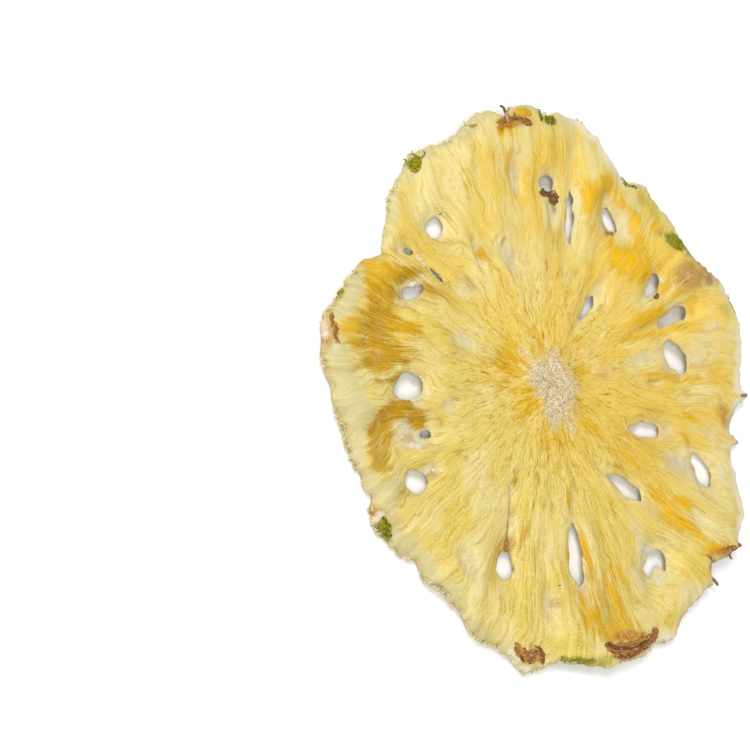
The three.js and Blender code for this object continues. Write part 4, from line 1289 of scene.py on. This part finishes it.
fibre = strand_material()
for piece in (
    strand_piece(
        "fibre_strands", starts=(8400, 4.0, 18, 0.8), lengths=(0.9, 3.2), knots=6, width=0.26,
        leaning=0.18, curling=0.5, seed=501,
    ),
    strand_piece(
        "fine_fibres", starts=(4600, 12.0, 41, 0.9), lengths=(3.5, 10.0), knots=12, width=0.22,
        leaning=0.04, curling=0.12, seed=502,
    ),
):
    piece.data.materials.append(fibre)

# %% [markdown]
# ## Woody eyes
#
# Where the knife left a bit of an eye, its bracts dried to a brown, cracked crust. A crust like that
# is hundreds of angular splinters with a few torn edges through them. So a region of the face is
# strewn with crumbs that lie along it, heaped a little in the middle, and some rough cords run
# through the heap. One helper smooths a path, one sweeps a rough tube along it, and a heap gathers
# many such shapes to one mesh.

# %% Shape helpers
def face_top(x, y):
    return face_heights(np.asarray(x, float), np.asarray(y, float))[0]


def on_face(places, lift=0):
    """Places (x, y) of the plan as points on the top face, raised by lift. A third number adds to it."""
    x, y, *own = np.array(places, float).T
    return np.stack([x, y, face_top(x, y) + lift + sum(own)], 1)


def smooth_path(points, count):
    """A curve through the points."""
    knots = np.concatenate([[2 * points[0] - points[1]], points, [2 * points[-1] - points[-2]]])
    at = np.linspace(0, len(points) - 1, count)
    k = np.minimum(at.astype(int), len(points) - 2)
    t = (at - k)[:, None]
    a, b, c, d = knots[k], knots[k + 1], knots[k + 2], knots[k + 3]
    return b + 0.5 * t * (c - a + t * (2 * a - 5 * b + 4 * c - d + t * (3 * (b - c) + d - a)))


def tube(path, radii, sides, rough, rng):
    """A closed rough tube along a path. Its ribs run along it, as in a stalk."""
    way = np.gradient(path, axis=0)
    way /= np.linalg.norm(way, axis=1)[:, None]
    upright = np.abs(way[:, 2]).mean() > 0.8
    aside = np.cross(way, (1.0, 0, 0) if upright else (0, 0, 1.0))
    aside /= np.linalg.norm(aside, axis=1)[:, None]
    over = np.cross(aside, way)
    turn = 2 * np.pi * np.arange(sides) / sides
    ribs = 1 + rough * (rng.uniform(-1, 1, sides) + 0.7 * rng.uniform(-1, 1, (len(path), sides)))
    reach = np.asarray(radii)[:, None] * ribs
    ring = aside[:, None] * np.cos(turn)[:, None] + over[:, None] * np.sin(turn)[:, None]
    points = (path[:, None] + ring * reach[..., None]).reshape(-1, 3)
    k, s = np.mgrid[0:len(path) - 1, 0:sides].reshape(2, -1)
    n = (s + 1) % sides
    a, b, c, d = k * sides + s, k * sides + n, (k + 1) * sides + n, (k + 1) * sides + s
    s = np.arange(sides)
    n, last = (s + 1) % sides, (len(path) - 1) * sides
    near, far = len(points), len(points) + 1
    caps = [np.stack([s * 0 + near, n, s], 1), np.stack([s * 0 + far, last + s, last + n], 1)]
    triangles = np.concatenate([np.stack([a, b, c], 1), np.stack([a, c, d], 1), *caps])
    return np.concatenate([points, path[:1], path[-1:]]), triangles


print("the top of the core is at", on_face([(0, 0)]).round(2)[0], "mm")

# %% Heaps of small shapes
class Heap:
    """Many small shapes as one mesh, with a tint for each shape, random or partly painted shade."""

    def __init__(self, seed):
        self.rng = np.random.default_rng(seed)
        self.points, self.triangles, self.tints, self.count = [], [], [], 0

    def put(self, points, triangles, tint=None):
        tint = self.rng.random() if tint is None else tint
        self.points.append(points)
        self.triangles.append(np.asarray(triangles) + self.count)
        self.tints.append(np.full(len(points), tint))
        self.count += len(points)

    def cord(self, path, radius, rough=0.25, tips=(0.3, 0.3), sides=9, tint=None):
        """A rough tube that is thinner towards its tips."""
        length = np.linalg.norm(np.diff(path, axis=0), axis=1).sum()
        path = smooth_path(path, max(6, int(length / (0.55 * radius)) + 4))
        t = np.linspace(0, 1, len(path))
        ends = np.minimum(tips[0] + 5 * t, tips[1] + 5 * (1 - t))
        self.put(*tube(path, radius * np.clip(ends, 0, 1), sides, rough, self.rng), tint)

    def lump(self, middle, half_sizes, bearing, rough=0.2, tint=None, rings=11, sides=16, tip=0.0):
        """A rough egg: a tube with round ends, pressed flat. tip lifts its nose, in degrees."""
        t = np.linspace(-0.96, 0.96, rings)
        path = np.stack([t * half_sizes[0], 0 * t, 0 * t], 1)
        points, triangles = tube(path, half_sizes[1] * np.sqrt(1 - t * t), sides, rough, self.rng)
        points[:, 2] *= half_sizes[2] / half_sizes[1]
        turn, tip = math.radians(bearing), math.radians(tip)
        along = points[:, 0] * math.cos(tip) - points[:, 2] * math.sin(tip)
        z = points[:, 2] + points[:, 0] * math.sin(tip)
        x = along * math.cos(turn) - points[:, 1] * math.sin(turn)
        y = along * math.sin(turn) + points[:, 1] * math.cos(turn)
        self.put(np.stack([x, y, z], 1) + middle, triangles, tint)

    def strew(self, regions, tints=(0, 1), slender=(0.4, 0.8)):
        """Angular crumbs heaped over oval regions. A region may bring its own two tints."""
        rng = self.rng
        for x0, y0, half_length, half_width, bearing, count, small, large, mound, *own in regions:
            dark, light = own or tints
            turn = math.radians(bearing)
            reach, angle = np.sqrt(rng.random(count)), rng.uniform(0, 2 * np.pi, count)
            along, across = half_length * reach * np.cos(angle), half_width * reach * np.sin(angle)
            x = x0 + along * math.cos(turn) - across * math.sin(turn)
            y = y0 + along * math.sin(turn) + across * math.cos(turn)
            on_flesh = plan_level(x, y)[0] > 0.05
            x, y, reach, count = x[on_flesh], y[on_flesh], reach[on_flesh], int(on_flesh.sum())
            long = rng.uniform(small, large, count)
            high = long * rng.uniform(0.3, 0.55, count)
            stand = rng.uniform(-0.5, 0.5, count)
            middles = on_face(np.stack([x, y], 1), mound * (1 - reach ** 2) + stand * high)
            for k in range(count):
                half_sizes = (long[k], long[k] * rng.uniform(*slender), high[k])
                lean, tip = rng.normal(0, 28), rng.normal(0, 14)
                # Crumbs deep in the heap are painted darker than those on top of it, a painted shade
                tint = np.clip(dark + (light - dark) * (0.45 + stand[k] + rng.normal(0, 0.25)), 0, 1)
                shape = dict(rough=0.3, rings=5, sides=6, tip=tip)
                self.lump(middles[k], half_sizes, bearing + lean, tint=tint, **shape)

    def piece(self, name, material, smooth=True):
        made = make_mesh(name, np.concatenate(self.points), np.concatenate(self.triangles))
        made.data.polygons.foreach_set("use_smooth", np.full(len(made.data.polygons), smooth))
        tint = np.concatenate(self.tints)
        paint(made, "tint", np.stack([tint, tint * 0, tint * 0], 1))
        made.data.materials.append(material)
        print(name + ":", len(self.tints), "shapes,", len(made.data.polygons), "faces")


print("a heap can take cords, lumps and strewn crumbs")

# %% [markdown]
# ## Materials of the small pieces
#
# The small pieces share one build: two tones of a real material, mixed by a tint for each shape and
# by a fine grain, with a little bump. The tint is random, but a strewn crumb deep in its heap gets a
# darker one as painted shade. Bark is dull and nearly dry, old skin is waxy, and a seed coat has a
# slight shine.

# %% Grained materials
def grained(name, low, high, grain_mm, rough, inside=0.0, bumpy=0.5):
    """Two tones mixed by a shape's tint and by grain. inside is how much light goes into it."""
    material, tree = new_material(name)
    grain = noise(tree, grain_mm, 0.32, 0.68, Detail=3.0, Roughness=0.7)
    share = mix(tree, 0.35, attribute(tree, "tint")[0], grain)
    surface(
        tree, Base_Color=blend(tree, share, srgb(low), srgb(high)), Roughness=rough,
        Normal=add(tree, "ShaderNodeBump", Height=grain, Strength=bumpy, Distance=0.1 * MM),
        Specular_IOR_Level=0.2, Subsurface_Weight=inside, Subsurface_Radius=(1.0, 0.8, 0.4),
        Subsurface_Scale=LIGHT_MM * MM,
    )
    return material


bark = grained("woody_bract", "#341000", "#d09654", 0.22, 0.75)
pale_bark = grained("weathered_bract", "#5c3c20", "#d2b490", 0.3, 0.8)
orange_rind = grained("sugared_rind", "#a06408", "#e0b838", 0.4, 0.45, inside=0.3)
old_skin = grained("dried_under_skin", "#cfc6a4", "#f2ecd8", 0.3, 0.6, inside=0.2)
leaf_green = grained("green_skin", "#34400a", "#b2a60c", 0.3, 0.55)
print("materials of the small pieces made")

# %% Eye crusts
# Each stroke: places along it, radius, lift
BARK_STROKES = [
    # torn edges and horn of the eye at the lower rim
    ([(-0.4, -43.3), (1.1, -44.0), (3.9, -44.9), (6.9, -44.9), (9.7, -44.5)], 0.26, 0.40),
    ([(1.7, -45.1), (4.7, -46.3), (6.8, -46.1), (9.7, -45.6)], 0.26, 0.15),
    ([(1.0, -43.7), (3.6, -44.1), (6.6, -44.2), (9.2, -44.2)], 0.20, 0.35),
    ([(10.2, -45.0), (11.2, -44.6), (11.9, -43.9), (11.8, -43.1)], 0.42, 0.45),
    # the forked eye at the lower left
    ([(-17.5, -38.8), (-17.3, -40.0), (-16.6, -41.2), (-15.6, -42.1)], 0.26, 0.30),
    ([(-13.8, -40.3), (-12.9, -41.0), (-12.6, -42.2), (-12.7, -43.4)], 0.26, 0.25),
    ([(-16.4, -40.6), (-15.2, -41.3), (-13.9, -41.2)], 0.22, 0.35),
    # the torn ridge at the top
    ([(0.0, 43.4), (1.8, 43.7), (4.0, 44.0), (6.2, 43.4), (6.9, 42.8)], 0.20, 0.10),
    ([(4.5, 44.9), (4.3, 44.1), (5.7, 43.2), (7.2, 43.2)], 0.17, 0.12),
    # the narrow one in the left wall
    ([(-39.5, 17.6), (-39.8, 16.4), (-39.5, 15.0), (-39.9, 14.1), (-39.4, 12.7)], 0.24, 0.05),
]
# Each region, here and below: x, y, half length, half width, bearing, then the number of crumbs,
# their shortest and longest half length, and the height of the mound
BARK_REGIONS = [
    (4.8, -45.3, 3.8, 1, -3, 200, 0.25, 0.8, 0.4), (0.7, -43.8, 1.3, 0.7, -35, 50, 0.2, 0.6, 0.25),
    (9.2, -44.9, 2.6, 0.8, 8, 100, 0.2, 0.7, 0.3), (5, -44.2, 3.6, 0.3, -5, 50, 0.15, 0.5, 0.1),
    (-16.9, -40.4, 1.7, 0.7, -65, 70, 0.2, 0.6, 0.3), (-15.2, -41.6, 1.6, 0.9, -10, 80, 0.2, 0.6, 0.35),
    (-13.2, -41.7, 1.4, 0.8, -60, 66, 0.2, 0.6, 0.3), (2, 43.6, 2.4, 0.35, 5, 34, 0.12, 0.4, 0.1),
    (4.8, 43.8, 1.6, 0.45, -15, 30, 0.12, 0.4, 0.12), (6.5, 43.1, 1.3, 0.5, -30, 34, 0.15, 0.45, 0.12),
    (-39.7, 15.2, 2.3, 0.4, 88, 40, 0.15, 0.45, 0.05),
    (32.8, -33.9, 1.5, 0.45, -10, 26, 0.12, 0.4, 0.05), (27.3, -34.3, 0.9, 0.2, -40, 10, 0.1, 0.25, 0),
    (41.4, 14.6, 3.6, 0.4, -50, 26, 0.1, 0.3, -0.05),
]
woody = Heap(601)
for places, radius, lift in BARK_STROKES:
    path = on_face(places, lift)
    woody.cord(path, radius, rough=0.35)
    # a thinner torn edge beside each cord, some way up
    beside = path + woody.rng.normal(0, 0.14, path.shape) + (0.1, -0.15, 0.15)
    woody.cord(beside, 0.45 * radius, rough=0.4, sides=7)
woody.strew(BARK_REGIONS, slender=(0.2, 0.5))
woody.piece("woody_eyes", bark, smooth=False)

# %% [markdown]
# ## Spines, stalk and rind
#
# Between the eyes sat thorny bract tips. A few are left: short brown spines that stick out of the
# rim's notches, and a bent dry stalk at the top. On the crusts lie paler, weathered splinters, and
# beside them the rind is orange and full of sugar.

# %% Spines and rind
# Each: base, middle and tip with their lifts, the radius at the base, and the tint
SPINES = [
    ([(44.7, -8.9, -0.2), (45.8, -9.0, -0.2), (46.9, -9.0, 0.0)], 0.36, 0.3),
    ([(41.6, -15.7, -0.3), (42.4, -16.3, -0.3), (43.1, -17.1, -0.2)], 0.34, 0.3),
    ([(34.6, -33.6, -0.2), (35.7, -33.9, -0.1), (36.7, -34.3, 0.0)], 0.36, 0.2),
    ([(32.9, -34.6, -0.3), (33.5, -35.3, -0.3), (33.8, -36.1, -0.2)], 0.22, 0.1),
    ([(28.5, -38.2, -0.4), (29.2, -38.9, -0.4), (29.7, -39.9, -0.3)], 0.30, 0.2),
    ([(2.2, 43.3, 0.1), (2.3, 44.3, 0.8), (2.5, 45.2, 1.4)], 0.26, 0.7),
    ([(2.5, 44.9, 1.2), (3.2, 45.4, 1.4), (3.5, 45.9, 1.5)], 0.15, 0.4),
    ([(2.5, 45.0, 1.3), (1.9, 45.8, 1.8), (0.9, 46.2, 2.0)], 0.20, 0.0),
]
spines = Heap(602)
for places, radius, tint in SPINES:
    spines.cord(on_face(places), radius, rough=0.12, tips=(1.0, 0.12), tint=tint)
spines.piece("spines_and_stalk", pale_bark)

# %% Splinters and rind
WEATHERED_REGIONS = [
    (5.6, -45, 2.6, 0.8, -3, 26, 0.2, 0.6, 0.55), (9.6, -45.4, 1.8, 0.5, 8, 16, 0.2, 0.5, 0.4),
    (2, -44.3, 1.6, 0.4, -30, 10, 0.2, 0.5, 0.4), (-15.2, -41.4, 1.8, 0.8, -10, 22, 0.15, 0.45, 0.5),
    (-13.4, -40.8, 0.8, 0.5, -40, 8, 0.15, 0.4, 0.4), (4.2, 43.8, 2, 0.4, -10, 12, 0.1, 0.35, 0.2),
]
weathered = Heap(608)
weathered.strew(WEATHERED_REGIONS, tints=(0.3, 1), slender=(0.15, 0.35))
weathered.piece("weathered_splinters", pale_bark, smooth=False)

RIND_REGIONS = [
    (5.4, -43.4, 3.4, 0.4, -6, 20, 0.12, 0.3, -0.08), (0.6, 42.4, 1.1, 0.35, 85, 12, 0.12, 0.28, -0.08),
    (30.6, -33.6, 2, 0.4, -10, 10, 0.1, 0.22, -0.05), (2.4, 43, 1.4, 0.3, 5, 14, 0.12, 0.3, 0),
]
rind = Heap(603)
rind.strew(RIND_REGIONS)
rind.lump(on_face([(6.3, 44.6)], -0.42)[0], (2.0, 1.0, 0.8), -8, rough=0.16, tint=0.75)
rind.piece("orange_rind", orange_rind)

# %% [markdown]
# ## Frayed rim
#
# Where the rim was torn rather than cut, above all at the left, shreds of dry flesh stand out of its
# wall in tufts. Each is a small flat lump, half sunk into the wall.

# %% Frayed rim
# (bearing it starts at, bearing it ends at, number of shreds)
FRAYED = [(144, 168, 150), (176, 226, 380), (226, 264, 220), (96, 134, 120), (56, 74, 40), (282, 302, 50)]
# The heights of the wall are read this far inside it, and the shreds' middles lie this far inside
WALL_DEPTH, STICK_IN = 0.6, 0.12
frayed = Heap(609)
for first, last, many in FRAYED:
    bearing = frayed.rng.uniform(first, last, many)
    bearing = bearing[wander(bearing, 0 * bearing, 2.4, 91) > frayed.rng.normal(0, 0.25, many)]
    many = len(bearing)
    turn, reach = np.radians(bearing), rim_radius(bearing)
    inner = (reach - WALL_DEPTH) * np.array([np.cos(turn), np.sin(turn)])
    upper, lower, _ = face_heights(*inner)
    height = lower + (upper - lower) * frayed.rng.uniform(0.15, 0.9, many)
    outer = inner * (reach - STICK_IN) / (reach - WALL_DEPTH)
    for k in range(many):
        long, lean = frayed.rng.uniform(0.12, 0.5), frayed.rng.normal(0, 30)
        middle = (*outer[:, k], height[k])
        half_sizes = (long, long * frayed.rng.uniform(0.2, 0.45), frayed.rng.uniform(0.05, 0.12))
        tip = frayed.rng.normal(0, 16)
        frayed.lump(middle, half_sizes, bearing[k] + lean, rough=0.2, rings=6, sides=7, tip=tip)
frayed.piece("frayed_rim", grained("frayed_flesh", "#bcae76", "#e0d6ac", 0.3, 0.7, bumpy=0.2))

# %% [markdown]
# ## Green remains
#
# Here and there the peeler left a bit of the green outer skin, dried to a crumbly patch sunk into
# the rim, some with dry hairs.

# %% Green bits
# These regions bring the tints of their lowest and highest crumbs as well
GREEN_REGIONS = [
    (-16.8, 38.6, 1.5, 0.9, 55, 110, 0.1, 0.32, 0.3, 0.2, 1),
    (10.2, 44, 1, 0.4, 75, 22, 0.12, 0.35, 0.1, 0, 0.7),
    (12.3, 42.9, 1.4, 0.9, -10, 60, 0.1, 0.32, 0.12, 0, 0.6),
    (-4.8, 43.4, 0.7, 0.3, 20, 8, 0.1, 0.2, -0.05, 0.3, 1),
    (-37, 20.2, 1.1, 0.45, 55, 20, 0.1, 0.3, 0, 0.2, 1),
    (-37, -16.3, 1.7, 0.6, -78, 44, 0.12, 0.4, 0.05, 0, 0.7),
    (-36.5, -18.2, 0.9, 0.4, -60, 12, 0.1, 0.3, 0, 0, 0.7),
    (-29.5, -27.1, 1, 0.35, -45, 12, 0.1, 0.25, -0.05, 0, 0.8),
    (-7.8, -43.6, 1.2, 0.4, -35, 12, 0.1, 0.25, -0.05, 0.2, 1),
    (-4.6, -44.6, 1.8, 0.3, -18, 16, 0.1, 0.25, -0.05, 0.1, 0.9),
    (27.9, 31.4, 1.1, 0.5, -55, 20, 0.1, 0.3, 0.05, 0, 0.7),
    (29.9, 30.4, 1.3, 0.4, -20, 22, 0.1, 0.3, 0, 0, 0.7),
    (35.9, 19.2, 1.5, 0.7, -45, 40, 0.12, 0.32, 0.02, 0.1, 0.9),
    (45.7, 7.2, 1.7, 0.2, -80, 16, 0.1, 0.25, 0, 0.2, 0.8),
]
# Dry hairs: places with their lifts
GREEN_HAIRS = [
    [(-17.6, 39.3, 0.1), (-18, 39.7, 0.4), (-18.4, 39.7, 0.5)],
    [(-16.6, 39.8, 0.1), (-16.6, 40.2, 0.4), (-16.9, 40.5, 0.5)],
    [(-15.7, 39.4, 0.1), (-15.1, 40, 0.5), (-15.2, 40.6, 0.8)],
    [(10.1, 44.3, 0.1), (10, 44.8, 0.4), (10.3, 45.2, 0.5)],
]
greens = Heap(605)
greens.strew(GREEN_REGIONS)
for places in GREEN_HAIRS:
    greens.cord(on_face(places), 0.09, rough=0.2, tips=(1.0, 0.3), sides=6, tint=0.0)
greens.piece("green_skin_bits", leaf_green, smooth=False)

# %% [markdown]
# ## Seeds and crumbs
#
# Most seed chambers are empty, but a few still hold the crumbs of a dark seed, stuck to the wall.
# The chambers' dry inner skin frays to white flakes.

# %% Seeds and flakes
# These bring their tints too
SEED_REGIONS = [
    (8.6, 31.2, 1.4, 0.6, -5, 50, 0.15, 0.5, 0.1, 0, 0.4),
    (10.4, 30.3, 1.1, 1.1, 0, 80, 0.15, 0.5, 0.25, 0, 0.5),
    (10.3, 31.2, 0.6, 0.4, 0, 8, 0.15, 0.3, 0.45, 1, 1),
    (14.9, 29.8, 0.3, 0.25, 60, 6, 0.12, 0.25, 0, 0, 0.3),
    (22.3, 23.1, 1.2, 0.5, -10, 24, 0.1, 0.28, 0, 0.4, 1),
    (28.9, 10.9, 0.7, 0.35, 30, 18, 0.12, 0.35, 0, 0, 0.5),
    (31.2, -18.4, 0.5, 0.2, 100, 8, 0.12, 0.3, -0.1, 0.3, 0.8),
    (-6.3, -32.1, 0.18, 0.15, 30, 3, 0.12, 0.2, 0, 0, 0.3),
    (-13.7, 30.3, 0.4, 0.15, 25, 8, 0.1, 0.22, 0, 0.1, 0.6),
    (-17.6, 17, 0.1, 0.1, 0, 1, 0.1, 0.14, 0, 0, 0), (-7.9, -11.5, 0.1, 0.1, 0, 1, 0.1, 0.14, 0, 0, 0),
    (-0.8, 8, 0.2, 0.1, 80, 2, 0.1, 0.16, 0, 0, 0.2),
]
seeds = Heap(606)
seeds.strew(SEED_REGIONS)
seeds.piece("seeds_and_crumbs", grained("seed_coat", "#1e0a00", "#b8884c", 0.25, 0.5), smooth=False)

FLAKE_REGIONS = [
    (-22, 19.9, 1.2, 0.3, 5, 16, 0.12, 0.35, 0.05), (-19.4, 23.4, 1.3, 0.3, -50, 14, 0.1, 0.3, 0),
    (-28.8, -5, 1.8, 0.25, -14, 14, 0.1, 0.3, 0), (-26.8, -9.4, 1.2, 0.3, 10, 10, 0.1, 0.3, 0),
    (-38.4, -14.6, 1.4, 0.3, 35, 20, 0.15, 0.4, 0.15), (-14.4, -43.4, 3.4, 0.35, -6, 16, 0.1, 0.25, 0),
    (-17.8, -40.8, 1.6, 0.3, -62, 10, 0.1, 0.25, 0), (-40.7, 15.4, 2.4, 0.3, 85, 14, 0.1, 0.25, 0),
    (10.5, 31.3, 0.6, 0.4, 0, 9, 0.15, 0.3, 0.5), (11.2, -46, 3, 0.25, 4, 12, 0.1, 0.25, 0),
    (-5.9, -32.5, 0.2, 0.2, 0, 4, 0.1, 0.2, 0),
]
flakes = Heap(607)
flakes.strew(FLAKE_REGIONS)
flakes.piece("white_skin_flakes", old_skin, smooth=False)

# %% [markdown]
# ## The table and the light
#
# The slice lies on a plain pale table. One broad light from the upper left rakes over the fibres,
# and a large weak one fills the shadows, as a studio with white walls does.

# %% Stage
TABLE_SIZE = 3.0


def make_table():
    half = TABLE_SIZE / 2
    mesh = bpy.data.meshes.new("table_top")
    corners = [(-half, -half, 0), (half, -half, 0), (half, half, 0), (-half, half, 0)]
    mesh.from_pydata(corners, [], [(0, 1, 2, 3)])
    table = bpy.data.objects.new("table_top", mesh)
    bpy.context.scene.collection.objects.link(table)
    material = bpy.data.materials.new("matt_white_paint")
    material.use_nodes = True
    shader = material.node_tree.nodes["Principled BSDF"]
    shader.inputs["Base Color"].default_value = srgb("#fafafa")
    shader.inputs["Roughness"].default_value = 0.8
    mesh.materials.append(material)


def area_light(name, position_mm, size, power):
    """A round white light that looks at the slice."""
    light = bpy.data.lights.new(name, "AREA")
    light.shape, light.size, light.energy = "DISK", size, power
    lamp = bpy.data.objects.new(name, light)
    lamp.location = Vector(position_mm) * MM
    lamp.rotation_euler = (-lamp.location).to_track_quat("-Z", "Y").to_euler()
    bpy.context.scene.collection.objects.link(lamp)


make_table()
area_light("key_light", (-560, 540, 950), size=0.40, power=7.15)
area_light("fill_light", (-700, -140, 900), size=0.60, power=6.6)
world = bpy.data.worlds.new("studio_walls")
world.use_nodes = True
world.node_tree.nodes["Background"].inputs["Color"].default_value = srgb("#ffffff")
world.node_tree.nodes["Background"].inputs["Strength"].default_value = 0.47
bpy.context.scene.world = world
bpy.context.scene.view_settings.view_transform = "Standard"
print("stage, lights and world made")
